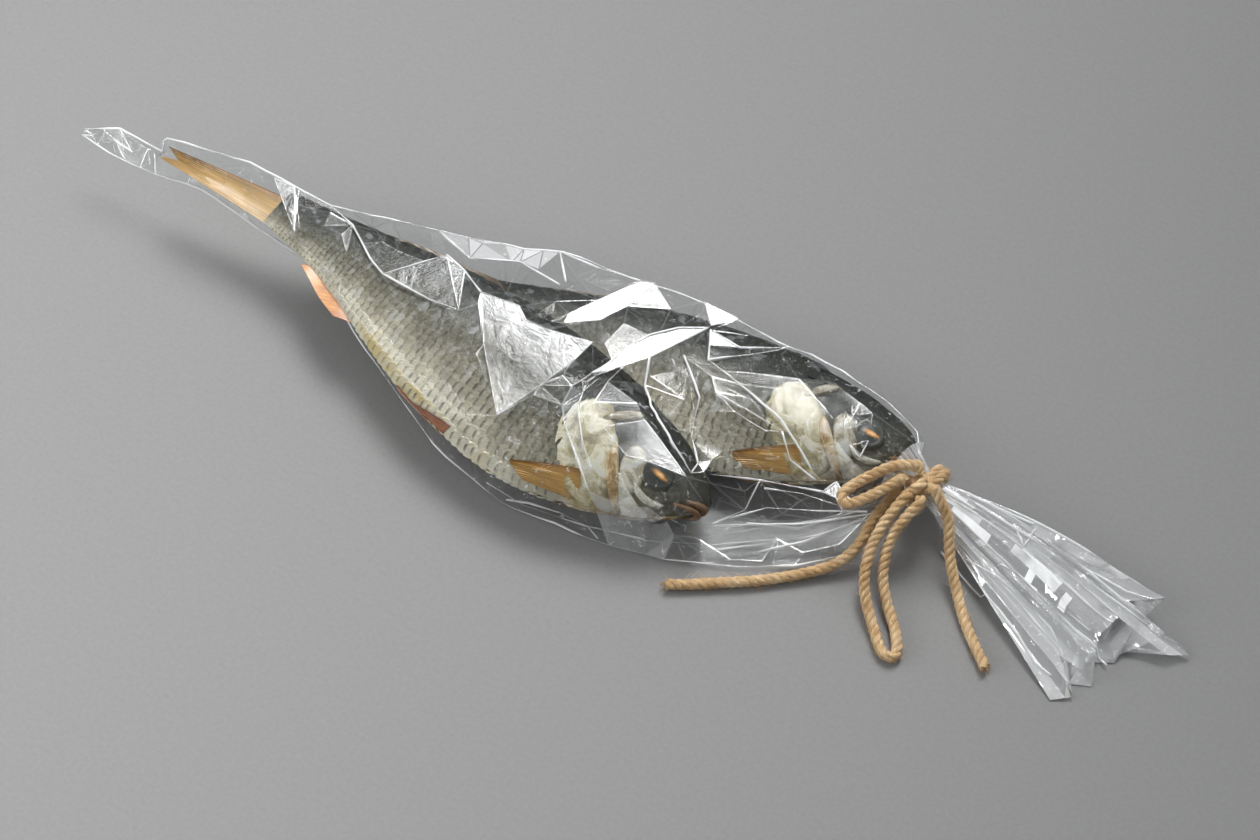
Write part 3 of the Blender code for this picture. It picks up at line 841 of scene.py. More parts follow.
# Gill covers dry to thin cream bone with silver left on it, and amber where it is thickest.
bone = new_material("dried_gill_bone")
bone_own = own_attribute(bone, "plate")
bone_kind = parts_of(bone, bone_own)[2]
bone_patches = grain(bone, own_places(bone), 170.0, 7.0, 0.72, 0.8)
bone_mottle = ramp(
    bone, bone_patches,
    (0.39, "#4a412a"), (0.45, "#81775a"), (0.51, "#b0a98c"), (0.57, "#d6d4c6"), (0.66, "#c6cdd2"),
)
bone_tone = ramp(
    bone, bone_kind, (0.10, "#b3ac8c"), (0.30, "#b39f6e"), (0.40, "#8a6733"), (0.50, "#b48c55"),
    (0.60, "#3c251b"), (0.90, "#d6d8d2"),
)
bone_reach = length_of(bone, multiplied(bone, bone_own, (1.0, 1.0, 0.0)))
bone_edge = ranged(bone, bone_reach, 0.86, 1.0, 0.0, 0.75, smooth=True)
surface(bone, {
    "Base Color": mixed(bone, bone_edge, mixed(bone, 0.40, bone_mottle, bone_tone), "#6f5d38"),
    "Roughness": 0.42, "Coat Weight": 0.15, "Coat Roughness": 0.2,
    "Normal": bumped(bone, bone_patches, 0.5, 0.0005),
})

# The eye dries glassy: a near black iris in a pale ring, with a slanted amber slit where the lens has
# shrunk. The slit is partly the lens's own amber and partly a painted reflection on it.
glassy_eye = new_material("dried_glassy_eye")
eye_own = own_attribute(glassy_eye, "plate")
eye_slit = add_node(
    glassy_eye, "ShaderNodeMapping", {"vector_type": "TEXTURE"},
    {"Vector": eye_own, "Location": (-0.10, 0.02, 0.0), "Rotation": (0.0, 0.0, math.radians(-12)),
     "Scale": (0.62, 0.21, 1000.0)},
)
eye_mottle = grain(glassy_eye, own_places(glassy_eye), 900.0, 4.0)
eye_ragged = reckoned(
    glassy_eye, "MULTIPLY_ADD", eye_mottle, 0.8, length_of(glassy_eye, eye_slit.outputs["Vector"]),
)
eye_amber = ramp(
    glassy_eye, ranged(glassy_eye, eye_ragged, 0.2, 1.7),
    (0.25, "#efc386"), (0.5, "#c98d45"), (0.72, "#5d4426"), (0.85, "#262a23"),
)
eye_ring = ramp(
    glassy_eye, length_of(glassy_eye, multiplied(glassy_eye, eye_own, (1.0, 1.0, 0.0))),
    (0.60, "#000000"), (0.80, "#383838"), (0.90, "#606060"), (0.95, "#d0d0d0"),
)
surface(glassy_eye, {
    "Base Color": mixed(glassy_eye, eye_ring, eye_amber, "#6d6a58"), "Roughness": 0.4,
    "Coat Weight": 0.35, "Coat Roughness": 0.12,
})

for name, fish in FISHES.items():
    plates_mesh = bmesh.new()
    skin_layers(plates_mesh)
    for line, half_width, lift, tone in HEAD_PLATES.values():
        for side in (1, -1):
            head_plate(plates_mesh, fish, side, line, half_width, lift, tone)
    finished(name + "_roach_head_bones", plates_mesh, bone, 60)
    eyes_mesh = bmesh.new()
    skin_layers(eyes_mesh)
    for side in (1, -1):
        eye(eyes_mesh, fish, side)
    finished(name + "_roach_eyes", eyes_mesh, glassy_eye, 60)


# The fins: thin skin over stiff rays, dried brittle and folded shut against the body. The tail
# is olive to orange brown, the fins on the breast amber, and those under the belly orange red.
FINS = {  # base line, tip line, rays, place, tone. Points are shares: how far back, height
    "tail": (((0.915, 0.038), (0.935, 0.004), (0.925, -0.032)),
             ((1.195, -0.018), (1.160, -0.028), (1.195, -0.044)), 13, "middle", 0.05),
    "back": (((0.470, 0.114), (0.560, 0.102), (0.660, 0.086)),
             ((0.560, 0.126), (0.660, 0.110), (0.780, 0.076)), 10, "middle", 0.25),
    "anal": (((0.690, -0.090), (0.750, -0.068), (0.820, -0.048)),
             ((0.735, -0.104), (0.790, -0.086), (0.850, -0.058)), 11, "middle", 0.98),
    "breast": (((0.198, -0.090), (0.186, -0.108), (0.176, -0.128)),
               ((0.308, -0.142), (0.304, -0.146), (0.272, -0.153)), 13, "flank", 0.50),
    "belly": (((0.430, -0.150), (0.440, -0.165), (0.452, -0.180)),
              ((0.560, -0.146), (0.555, -0.160), (0.530, -0.172)), 9, "flank", 0.74),
}
FIN_THICKNESS = 0.3
FIN_LIFT = 0.75
RAY_HEIGHT = 0.10


def along_line(points, share):
    """A point at a share of the way along a line of a few points."""
    place = share * (len(points) - 1)
    i = min(int(place), len(points) - 2)
    return Vector(points[i]).lerp(Vector(points[i + 1]), place - i)


def rayed_fin(bm, fish, side, base, tip, rays, place, tone):
    """A sheet with a ridge at each ray, from base line to tip line, given its thickness."""
    small = bmesh.new()
    skin, own = skin_layers(small)
    nose, along, length, to_back, outward = fish
    bmesh.ops.create_grid(small, x_segments=2 * rays, y_segments=9, size=0.5)
    for vert in small.verts:
        u, v = vert.co.x + 0.5, vert.co.y + 0.5
        spot = along_line(base, u).lerp(along_line(tip, u), v)
        ridge = math.cos(2 * math.pi * rays * u) * RAY_HEIGHT * (0.4 + 0.6 * v)
        curl = 0.5 * math.sin(u * 7 + v * 2.4) * v
        vert[skin] = (spot.x, spot.y, side)
        vert[own] = (u, v, tone)
        if place == "middle":
            vert.co = nose + along * spot.x + to_back * spot.y * length + outward * (ridge + curl)
        else:
            lift = FIN_LIFT + ridge + abs(curl) * 0.6
            vert.co = seat_on_flank(fish, spot.x, spot.y, side, lift)
    lower = bmesh.ops.extrude_face_region(small, geom=small.faces[:])["geom"]
    lower = [item for item in lower if isinstance(item, bmesh.types.BMVert)]
    bmesh.ops.translate(small, vec=outward * side * -FIN_THICKNESS, verts=lower)
    gather(bm, small)


fin_skin = new_material("dried_fin_membrane")
fin_own = own_attribute(fin_skin, "plate")
across_fin, _, fin_kind = parts_of(fin_skin, fin_own)
fin_tone = ramp(
    fin_skin, fin_kind,
    (0.05, "#b39765"), (0.25, "#6a5c3c"), (0.50, "#ac8a4c"), (0.74, "#a06a46"), (0.98, "#d6a67a"),
)
fin_streaks = ramp(
    fin_skin, grain(fin_skin, multiplied(fin_skin, fin_own, (26.0, 2.4, 9.0)), 1.0, 4.0),
    (0.32, "#4b3a1e"), (0.50, "#a68650"), (0.66, "#e3cf9c"),
)
fin_first_ray = ramp(fin_skin, across_fin, (0.0, "#8f5236"), (0.28, "#ffffff"))
fin_colour = mixed(fin_skin, 0.32, fin_tone, fin_streaks, "OVERLAY")
surface(fin_skin, {
    "Base Color": mixed(fin_skin, 0.6, fin_colour, fin_first_ray, "MULTIPLY"), "Roughness": 0.42,
    "Coat Weight": 0.3, "Coat Roughness": 0.2,
})

for name, fish in FISHES.items():
    fins_mesh = bmesh.new()
    skin_layers(fins_mesh)
    for base, tip, rays, place, tone in FINS.values():
        for side in (1, -1) if place == "flank" else (1,):
            rayed_fin(fins_mesh, fish, side, base, tip, rays, place, tone)
    finished(name + "_roach_fins", fins_mesh, fin_skin, 60)


# The bag: crisp clear film, drawn tight by the tie. It bridges from one fish to the other in flat
# facets between sharp creases, hugs a fish where it rests on it, and its two sheets meet along
# the rims.
RIM_STATIONS = (  # x, then the far rim's y and z, and the near rim's y and z
    (-166.0, -3.0, 16.5, -4.3, 15.0),
    (-156.0, 0.9, 19.0, -5.2, 14.3),
    (-142.0, 3.1, 22.0, -4.7, 14.0),
    (-128.0, 5.2, 23.0, -2.4, 15.0),
    (-118.0, 7.4, 23.0, -3.6, 15.0),
    (-105.0, 7.6, 22.5, -5.7, 15.0),
    (-92.0, 8.9, 18.5, -6.2, 13.7),
    (-82.0, 14.2, 15.0, -9.2, 12.7),
    (-65.0, 21.4, 12.0, -18.6, 9.0),
    (-43.0, 28.1, 11.0, -28.4, 6.0),
    (-30.0, 33.0, 12.0, -34.0, 4.0),
    (-8.0, 34.8, 12.0, -38.0, 1.5),
    (8.0, 37.9, 12.0, -36.0, 1.5),
    (21.5, 38.0, 12.0, -34.6, 1.0),
    (37.7, 36.5, 12.0, -30.2, 1.0),
    (55.0, 33.6, 12.0, -22.2, 1.0),
    (67.0, 31.8, 12.0, -14.4, 1.0),
    (78.0, 29.3, 12.0, -4.0, 1.5),
    (80.4, 27.0, 12.4, 5.0, 4.0),
    (81.7, 24.4, 12.6, 12.0, 5.6),
)
FACETS = (  # corners of the flat facets that stand level enough to mirror the window
    ((-108.1, 6.7, 22.3), (-101.8, 7.2, 22.3), (-93.4, -5.2, 22.3)),
    ((-64.6, -5.5, 24.3), (-53.3, 8.2, 24.6), (-40.7, -5.4, 24.8), (-49.2, -6.3, 24.7)),
    ((-38.7, 2.3, 25.5), (-27.7, 3.7, 25.6), (-23.8, 0.9, 25.5), (-16.8, 1.5, 25.5),
     (-5.2, 4.0, 25.6), (-6.7, -4.0, 25.3), (-10.2, -14.1, 25.0), (-14.9, -27.4, 24.6),
     (-29.2, -11.2, 25.1)),
    ((-19.3, 4.9, 20.7), (-17.3, 11.5, 20.1), (-13.2, 19.5, 19.5), (-7.1, 31.1, 18.5),
     (-3.3, 32.6, 18.5), (-5.4, 22.0, 19.4), (-9.2, 14.0, 20.0), (-14.4, 9.9, 20.3)),
    ((10.7, 35.0, 17.1), (21.5, 35.1, 17.1), (16.0, 29.2, 17.4)),
    ((-1.1, -3.2, 22.9), (1.0, 3.4, 22.5), (2.6, 10.4, 21.8), (4.9, 16.0, 21.2),
     (10.2, 22.4, 20.5), (16.5, 26.5, 20.0), (12.9, 18.7, 20.8), (8.6, 9.7, 21.6),
     (4.4, 3.8, 22.2)),
    ((16.7, 27.8, 17.5), (26.1, 27.0, 17.2), (37.0, 34.6, 16.3), (30.0, 26.5, 17.1),
     (21.3, 18.5, 17.9)),
    ((10.0, -16.0, 23.3), (18.0, -8.4, 22.9), (25.9, -12.1, 22.4), (35.1, -16.7, 21.8),
     (25.3, -18.1, 22.4), (19.1, -19.7, 22.8)),
    ((34.8, -13.9, 18.6), (34.9, -10.0, 18.6), (37.4, -7.8, 18.6), (37.5, -11.5, 18.6)),
    ((28.1, 10.4, 19.6), (38.0, 10.3, 19.0), (48.7, 9.4, 18.3), (44.8, 7.3, 18.5),
     (35.4, 8.0, 19.1)),
    ((59.5, 22.8, 16.2), (64.6, 21.6, 15.7), (61.5, 18.4, 16.0)),
    ((64.6, 16.3, 14.6), (68.1, 19.6, 14.4), (68.2, 15.2, 14.2)),
    ((66.6, 6.5, 12.7), (69.8, 4.4, 12.6), (72.7, 4.0, 12.5), (72.7, -0.3, 12.3),
     (68.8, 2.5, 12.5), (65.1, 2.3, 12.5)),
)
CREASES = (  # folds that stand up between the facets
    ((-1.1, -3.2, 22.9), (-2.9, -10.2, 25.2), (-2.2, -16.2, 24.6), (1.8, -20.9, 23.2),
     (7.0, -24.9, 21.4), (14.6, -30.1, 16.5)),
    ((1.4, -3.4, 23.4), (0.2, -9.8, 24.2), (1.9, -15.0, 24.0), (7.2, -21.7, 23.0),
     (13.3, -26.8, 20.6)),
    ((-53.3, 8.2, 24.6), (-46.4, 6.4, 24.4), (-38.7, 2.3, 25.5)),
    ((-100.6, 7.2, 22.0), (-90.2, 7.1, 22.4), (-81.2, 4.7, 22.4), (-70.9, -2.4, 23.2),
     (-64.6, -5.5, 24.3)),
    ((8.6, 9.7, 21.6), (11.5, 2.6, 20.0), (16.2, -3.8, 19.4), (26.6, -10.2, 18.4),
     (34.8, -13.9, 18.6)),
    ((15.1, 16.5, 18.5), (25.2, 7.7, 17.0), (29.1, -4.2, 17.0), (34.9, -10.0, 18.6)),
    ((21.3, 18.5, 17.9), (32.3, 16.1, 18.8), (46.6, 12.1, 18.8), (54.9, 8.1, 16.5),
     (59.8, 5.8, 14.0)),
    ((48.7, 9.4, 18.3), (54.0, 4.4, 16.0), (61.8, 4.0, 13.2)),
    ((-62.9, 18.8, 15.5), (-51.1, 15.4, 16.0), (-39.0, 21.6, 15.5), (-25.3, 19.8, 17.0)),
    ((-24.5, 21.6, 16.8), (-32.3, 31.1, 13.5), (-20.4, 31.3, 14.5), (-7.8, 32.3, 16.5)),
    ((38.6, -9.6, 15.5), (49.3, -2.7, 12.0), (65.1, 2.3, 12.5)),
    ((49.3, -2.7, 12.0), (49.5, -10.6, 8.5), (44.2, -18.2, 7.5)),
    ((76.7, 6.8, 9.5), (67.1, -2.2, 6.5), (54.6, -11.5, 5.0), (43.4, -21.2, 4.4)),
    ((77.0, 3.4, 7.4), (68.9, -5.2, 4.8), (58.6, -13.1, 3.2), (44.2, -24.3, 2.4)),
    ((75.3, 4.6, 8.8), (63.6, -6.5, 5.6), (51.4, -13.0, 6.8)),
)
FILM_GAP = 0.35
COVER_RINGS, COVER_SIDES = 64, 36
COVER_LIFT, FINS_AND_BONES_LIFT = 0.9, 1.5
TAUT_ROUNDS = 60
RIM_STEP = 5.0
FLOOR_FROM = -48.0
CREASE_OFFSET = 0.2
FILM_LOWEST = 0.05
WELL_CLEAR = 90.0  # a height from which a ray meets the pack from above, or below
# How many layers' worth of mirroring each facet has, and the small loose ones between them.
FACET_MIRRORS = (1.0, 1.0, 1.25, 2.0, 1.3, 0.9, 2.0, 0.75, 2.2, 0.7, 2.2, 2.2, 2.2)
LOOSE_MIRROR = 0.38
UPPER_SMALL_FACETS = (5000, 8.0)  # how many places are tried, and how far apart they have to be
LOWER_SMALL_FACETS = (1500, 13.0)
PIN_CLEARANCE = 6.0  # the square of the distance that they keep from a pinned corner
CLOSER_BELOW, CLOSER_ABOVE, CLOSER_SPACING = -70, 58, 0.55  # the bag's narrow ends, by x
CREASE_SHORTEST, BEND_SHORTEST, BEND_DEGREES = 1.2, 2.0, 6
UNDERSIDE_MIRROR, NEAR_WEB_MIRROR = 0.12, 0.15
CLING_WITHIN, CLING_FADE = 0.4, 0.8  # of the cover
# Zones where the film is painted white: a painted highlight, in part the film's own crumpled white.
PAINTED_HIGHLIGHT_ZONES = (  # outlines in plan where the film is crumpled white, and how white
    (((-2.9, -10.2), (-2.2, -16.2), (1.8, -20.9), (7.0, -24.9), (14.6, -30.1), (13.3, -26.8),
      (7.2, -21.7), (1.9, -15.0), (0.2, -9.8)), 0.35),
    (((-62.9, 18.8), (-51.1, 15.4), (-39.0, 21.6), (-29.0, 28.3), (-31.4, 31.0), (-45.0, 28.5),
      (-60.0, 24.0)), 0.65),
    (((17.0, -31.0), (24.1, -28.2), (30.8, -26.8), (38.0, -25.5), (38.0, -29.6), (30.0, -33.0),
      (20.0, -33.5)), 0.4),
)


def fish_cover(fish):
    """A plain closed form just over a fish's scales, fins and head bones: its points and faces."""
    points, faces = [], []
    for i in range(COVER_RINGS + 1):
        share = FISH_STATIONS[-1][0] * i / COVER_RINGS
        for k in range(COVER_SIDES):
            angle = 2 * math.pi * (k + 0.5) / COVER_SIDES
            across = math.cos(angle)
            place, _, _, outward = skin_frame(fish, share, across, 1 if math.sin(angle) > 0 else -1)
            lift = FINS_AND_BONES_LIFT if share < 0.27 or across < -0.5 else COVER_LIFT
            points.append(place + outward * lift)
            if i < COVER_RINGS:
                a, b = i * COVER_SIDES + k, i * COVER_SIDES + (k + 1) % COVER_SIDES
                faces.append((a, a + COVER_SIDES, b + COVER_SIDES, b))
    return points, faces


cover_points, cover_faces = [], []
for fish in FISHES.values():
    points, faces = fish_cover(fish)
    first = len(cover_points)
    cover_points += points
    cover_faces += [[first + i for i in face] for face in faces]
cover_tree = BVHTree.FromPolygons(cover_points, cover_faces)


def cleared(place):
    """The place, moved straight out of a fish if it lies inside one or too near."""
    for _ in range(2):
        nearest, normal, _, distance = cover_tree.find_nearest(place)
        if (place - nearest).dot(normal) < 0 or distance < FILM_GAP:
            place = nearest + normal * FILM_GAP
    return at_least(place, FILM_LOWEST)


def rims_at(x):
    """The film's far and near rim at a place along the bag."""
    for before, after in zip(RIM_STATIONS, RIM_STATIONS[1:]):
        if x <= after[0]:
            mix = (x - before[0]) / (after[0] - before[0])
            values = [a + (b - a) * mix for a, b in zip(before[1:], after[1:])]
            return Vector((x, values[0], values[1])), Vector((x, values[2], values[3]))
    return rims_at(RIM_STATIONS[-1][0])


def bag_rim(chance):
    """The line where the two sheets meet, once round the bag, with small nicks in it."""
    start, end = RIM_STATIONS[0][0], RIM_STATIONS[-1][0]
    steps = round((end - start) / RIM_STEP)
    far_side, near_side = [], []
    for i in range(steps + 1):
        far, near = rims_at(start + (end - start) * i / steps)
        nick = Vector((0, chance.uniform(-0.35, 0.1), chance.uniform(-0.4, 0.4)))
        far_side.append(far + nick)
        near_side.append(near - nick * 0.5)
    return [cleared(p) for p in far_side + near_side[::-1]]


def inside(outline, x, y):
    """Whether a place in plan lies inside an outline."""
    crossings = 0
    for a, b in zip(outline, (*outline[1:], outline[0])):
        if (a[1] > y) != (b[1] > y) and x < a[0] + (b[0] - a[0]) * (y - a[1]) / (b[1] - a[1]):
            crossings += 1
    return crossings % 2 == 1


def loose_points(chance, tries, spacing, taken, margin):
    """Places in plan for the random small facets, clear of each other and of those taken."""
    found = []
    for _ in range(tries):
        x = chance.uniform(RIM_STATIONS[0][0] + 2, RIM_STATIONS[-1][0] - 1)
        far, near = rims_at(x)
        y = chance.uniform(near.y + margin, far.y - margin)
        reach = spacing * (CLOSER_SPACING if x > CLOSER_ABOVE or x < CLOSER_BELOW else 1.0)
        if any(inside(facet, x, y) for facet in FACETS):
            continue
        if all((p[0] - x) ** 2 + (p[1] - y) ** 2 > reach**2 for p in found) and \
                all((p[0] - x) ** 2 + (p[1] - y) ** 2 > PIN_CLEARANCE for p in taken):
            found.append((x, y))
    return found


def stands_at(sources, number):
    """Where a given point has come to stand in the triangulated list."""
    return next(i for i, source in enumerate(sources) if number in source)


def laid_sheet(bm, rim_verts, facets, creases, loose, upper):
    """One sheet of film from rim to rim: pinned at the rim, the facets and the creases, and drawn
    taut between them over or under the fish."""
    rim = [vert.co for vert in rim_verts]
    places = [(p.x, p.y, p.z) for p in rim]
    edges = [(i, (i + 1) % len(rim)) for i in range(len(rim))]
    for line, closed in [(f, True) for f in facets] + [(c, False) for c in creases]:
        numbers = []
        for place in line:
            if place not in places[len(rim):]:
                places.append(place)
            numbers.append(places.index(place, len(rim)))
        edges += list(zip(numbers, numbers[1:]))
        if closed:
            edges.append((numbers[-1], numbers[0]))
    pinned = len(places)
    plan = [Vector(p[:2]) for p in places] + [Vector(p) for p in loose]
    flat, _, faces, sources, _, _ = delaunay_2d_cdt(plan, edges, [], 1, 0.001)
    verts, free = [], []
    for spot, source in zip(flat, sources):
        number = min(source) if source else len(plan)
        if number < len(rim):
            verts.append(rim_verts[number])
        elif number < pinned:
            verts.append(bm.verts.new(places[number]))
        else:
            far, near = rims_at(spot.x)
            mix = min(1.0, max(0.0, (spot.y - near.y) / (far.y - near.y)))
            verts.append(bm.verts.new((spot.x, spot.y, near.z + (far.z - near.z) * mix)))
            free.append(verts[-1])
    for face in faces:
        corners = [verts[i] for i in face]
        bm.faces.new(corners if upper else corners[::-1])
    for a, b in edges:
        edge = bm.edges.get((verts[stands_at(sources, a)], verts[stands_at(sources, b)]))
        if edge:
            edge[bm.edges.layers.int["crease"]] = 1
    bmesh.ops.delete(bm, geom=[vert for vert in bm.verts if not vert.link_faces], context="VERTS")
    free = [vert for vert in free if vert.is_valid]
    limits = []
    for vert in free:
        start = Vector((vert.co.x, vert.co.y, WELL_CLEAR if upper else -WELL_CLEAR))
        hit = cover_tree.ray_cast(start, Vector((0, 0, -1 if upper else 1)))[0]
        limits.append(hit.z if hit else None)
    for _ in range(TAUT_ROUNDS):
        for vert, limit in zip(free, limits):
            height = sum(edge.other_vert(vert).co.z for edge in vert.link_edges)
            height /= len(vert.link_edges)
            if upper and limit is not None:
                height = max(height, limit + FILM_GAP)
            if not upper and limit is not None:
                height = min(height, limit - FILM_GAP)
            if not upper and vert.co.x > FLOOR_FROM:
                height = FILM_LOWEST
            vert.co.z = max(FILM_LOWEST, height)
    return free


def beside(place, a, b):
    """Whether a place lies right beside the line from a to b."""
    way = b - a
    share = min(1.0, max(0.0, (place - a).dot(way) / way.length_squared))
    return (place - a - way * share).length < 0.45


def bent(edge):
    """Whether an edge is long, and the film clearly bent along it."""
    return edge.calc_length() > BEND_SHORTEST and edge.calc_face_angle() > math.radians(BEND_DEGREES)


film_chance = random.Random(29)
bag_mesh = bmesh.new()
crease_mark = bag_mesh.edges.layers.int.new("crease")
rim_places = bag_rim(film_chance)
rim_verts = [bag_mesh.verts.new(place) for place in rim_places]
taken = [place for line in FACETS + CREASES for place in line]
upper_points = loose_points(film_chance, *UPPER_SMALL_FACETS, taken, 1.3)
top_free = laid_sheet(bag_mesh, rim_verts, FACETS, CREASES, upper_points, True)
for vert in top_free:
    vert.co.z += film_chance.uniform(0.0, 0.7)
lower_points = loose_points(film_chance, *LOWER_SMALL_FACETS, [], 1.5)
laid_sheet(bag_mesh, rim_verts, (), (), lower_points, False)
# An edge that dips into a fish is split, and its new middle moved out.
for _ in range(3):
    sunk = []
    for edge in bag_mesh.edges:
        middle = (edge.verts[0].co + edge.verts[1].co) / 2
        if edge.calc_length() > 1.6 and (cleared(middle) - middle).length > 0.05:
            sunk.append(edge)
    bmesh.ops.subdivide_edges(bag_mesh, edges=sunk, cuts=1)
    bmesh.ops.triangulate(bag_mesh, faces=bag_mesh.faces)
    for vert in bag_mesh.verts:
        vert.co = cleared(vert.co)
bag_mesh.normal_update()
# The creases, and long edges with a clear bend, become thin ridges.
folds = [
    edge for edge in bag_mesh.edges
    if edge.is_manifold and edge.calc_length() > CREASE_SHORTEST
    and (edge[crease_mark] or bent(edge))
    and all((cleared(vert.co) - vert.co).length == 0 for vert in edge.verts)
]
# Of each face, the film's state: its layers' worth of mirroring, its painted white (a painted highlight),
# its speckle.
film_state = bag_mesh.faces.layers.float_vector.new("film_state")
for face in bag_mesh.faces:
    middle = face.calc_center_median()
    mirror, white = LOOSE_MIRROR, 0.0
    for facet, strength in zip(FACETS, FACET_MIRRORS):
        if inside(facet, middle.x, middle.y):
            mirror = strength
    for zone, strength in PAINTED_HIGHLIGHT_ZONES:
        if inside(zone, middle.x, middle.y):
            white = strength * film_chance.uniform(0.3, 1.0)
    if middle.x > 40 and middle.z < 8 or middle.x > 20 and middle.z < 5:
        mirror = NEAR_WEB_MIRROR
    if face.normal.z < 0:
        mirror, white = UNDERSIDE_MIRROR, 0.0
    face[film_state] = (mirror, white, 0.55 if middle.x > -12 else 0.2)
creased = [[vert.co.copy() for vert in edge.verts] for edge in folds if edge[crease_mark]]
ridges = bmesh.ops.bevel(
    bag_mesh, geom=folds, offset=CREASE_OFFSET, segments=2, profile=0.5, affect="EDGES",
    material=-1, clamp_overlap=False,
)["faces"]
# The ridge faces are painted white along each fold, strongest on the sharp creases and fainter low at the
# front. This is a painted highlight, as of a fold that catches the light.
for face in ridges:
    middle = face.calc_center_median()
    sharp = any(beside(middle, a, b) for a, b in creased)
    strength = 0.25 + 0.4 * noise.noise(middle * 0.11) if sharp else 0.06
    if middle.x > 40 and middle.z < 9:
        strength *= 0.4
    face[film_state] = (1.5, min(0.9, max(0.05, strength)), 0.0)
cling = bag_mesh.verts.layers.float.new("cling")
for vert in bag_mesh.verts:
    distance = cover_tree.find_nearest(vert.co)[3]
    vert[cling] = 1.0 - min(1.0, max(0.0, (distance - CLING_WITHIN) / CLING_FADE))
bmesh.ops.remove_doubles(bag_mesh, verts=bag_mesh.verts, dist=1e-4)
bag_mesh.normal_update()
bmesh.ops.recalc_face_normals(bag_mesh, faces=bag_mesh.faces)
bmesh.ops.scale(bag_mesh, vec=(MM, MM, MM), verts=bag_mesh.verts)


# Clear film shows what is under it, and mirrors the window only where a facet faces it, more so where it
# is crumpled in layers. Pressed onto oily skin it all but vanishes. Along sharp folds, on the beads and in
# the listed zones it is painted white: a painted highlight, in part the film's own crumpled white. In fine
# specks it turns white too.
film = new_material("clear_crisp_film")
film_cling = add_node(film, "ShaderNodeAttribute", {"attribute_name": "cling"}).outputs["Fac"]
film_layers, film_fold_highlight, film_speckle = parts_of(film, own_attribute(film, "film_state"))
film_places = own_places(film)
film_relief = bumped(film, grain(film, film_places, 150.0, 5.0, 0.62, 0.6), 0.35, 0.0006)
film_slant = add_node(film, "ShaderNodeLayerWeight", None, {"Blend": 0.5, "Normal": film_relief})
film_grazing = reckoned(film, "POWER", film_slant.outputs["Facing"], 4.0)
film_mirror = reckoned(
    film, "MULTIPLY", reckoned(film, "MULTIPLY_ADD", film_grazing, 0.88, 0.085), film_layers,
)
film_mirror = reckoned(
    film, "MULTIPLY", film_mirror, ranged(film, film_cling, 0.0, 1.0, 1.0, 0.22), kept=True,
)
film_clear = add_node(film, "ShaderNodeBsdfTransparent", None, {"Color": (0.97, 0.975, 0.975, 1.0)})
film_shine = add_node(
    film, "ShaderNodeBsdfGlossy", None,
    {"Color": (1.0, 1.0, 1.0, 1.0), "Roughness": 0.08, "Normal": film_relief},
)
film_plain = add_node(
    film, "ShaderNodeMixShader", None,
    {0: film_mirror, 1: film_clear.outputs[0], 2: film_shine.outputs[0]},
)
film_specks = ranged(film, grain(film, film_places, 330.0, 6.0, 0.7, 1.4), 0.585, 0.70)
film_highlight_paint = reckoned(
    film, "MULTIPLY_ADD", film_specks, film_speckle, reckoned(film, "MULTIPLY", film_fold_highlight, 0.75),
    kept=True,
)
film_white = add_node(film, "ShaderNodeBsdfDiffuse", None, {"Color": (0.93, 0.94, 0.95, 1.0)})
surface(
    film, {0: film_highlight_paint, 1: film_plain.outputs[0], 2: film_white.outputs[0]}, "ShaderNodeMixShader",
)

film_bag = finished("clear_film_bag", bag_mesh, film, 180)
flat_facets = film_bag.modifiers.new("flat_facets", "WEIGHTED_NORMAL")
flat_facets.weight = 100
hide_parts("bag")


# The gathered neck and the loose mouth beyond the tie: the same film in narrow pleats, which fan
# out to a jagged hem as two layers. The lower one lies on what the pack stands on.
HEM_TOP = (
    (153.4, 23.2, 6.0), (145.4, 19.2, 3.2), (153.4, 16.0, 4.8), (165.8, 14.4, 1.3),
    (160.4, 10.4, 2.8), (145.5, 12.5, 5.4), (143.5, 6.4, 3.0), (145.3, -0.8, 5.2),
    (139.8, 3.1, 2.6), (142.8, -3.7, 1.4), (137.6, -4.1, 3.6), (145.3, -11.5, 1.1),
)
HEM_LOW = (
    (140.7, -14.9, 0.5), (141.0, -9.0, 0.3), (148.0, -6.0, 0.3), (143.0, -1.0, 0.5),
    (150.0, 3.0, 0.3), (147.0, 7.0, 0.6), (156.0, 11.0, 0.4), (150.0, 15.0, 0.8),
    (152.0, 21.0, 3.4),
)
MOUTH_STEPS = 26
INNER_STEPS, INNER_STEP = 5, 2.6  # on the pack's side of the tie, where the film spreads again
PLEAT_SHORTEST, PLEAT_DEGREES, PLEAT_OFFSET = 0.9, 14, 0.14
FLUTTER_ASIDE, FLUTTER_UP = 0.5, 0.9
MOUTH_LOWEST = 0.12
PLEATS_EACH = 3
# Inside these outlines the upper layer is painted fully white: a painted highlight of the window.
MOUTH_GLINTS = (  # outlines in plan where a pleat of the upper layer faces the window
    ((113.1, 14.6), (116.5, 16.4), (128.5, 14.6), (130.5, 13.3), (127.2, 9.9), (120.9, 10.9)),
    ((118.3, 8.6), (125.3, 7.4), (125.9, 9.5), (120.2, 11.1)),
    ((90.0, 20.3), (93.1, 20.6), (100.5, 18.9), (108.4, 13.2), (107.0, 10.7), (99.3, 15.0),
     (92.6, 16.7)),
    ((128.7, 7.0), (132.2, 11.4), (132.0, 8.0)),
    ((145.0, 4.3), (148.8, 8.6), (150.4, 3.0)),
)


def closed_line(corners, each):
    """Evenly shared points on a closed line through corners."""
    line = []
    for a, b in zip(corners, (*corners[1:], corners[0])):
        line += [Vector(a).lerp(Vector(b), i / each) for i in range(each)]
    return line


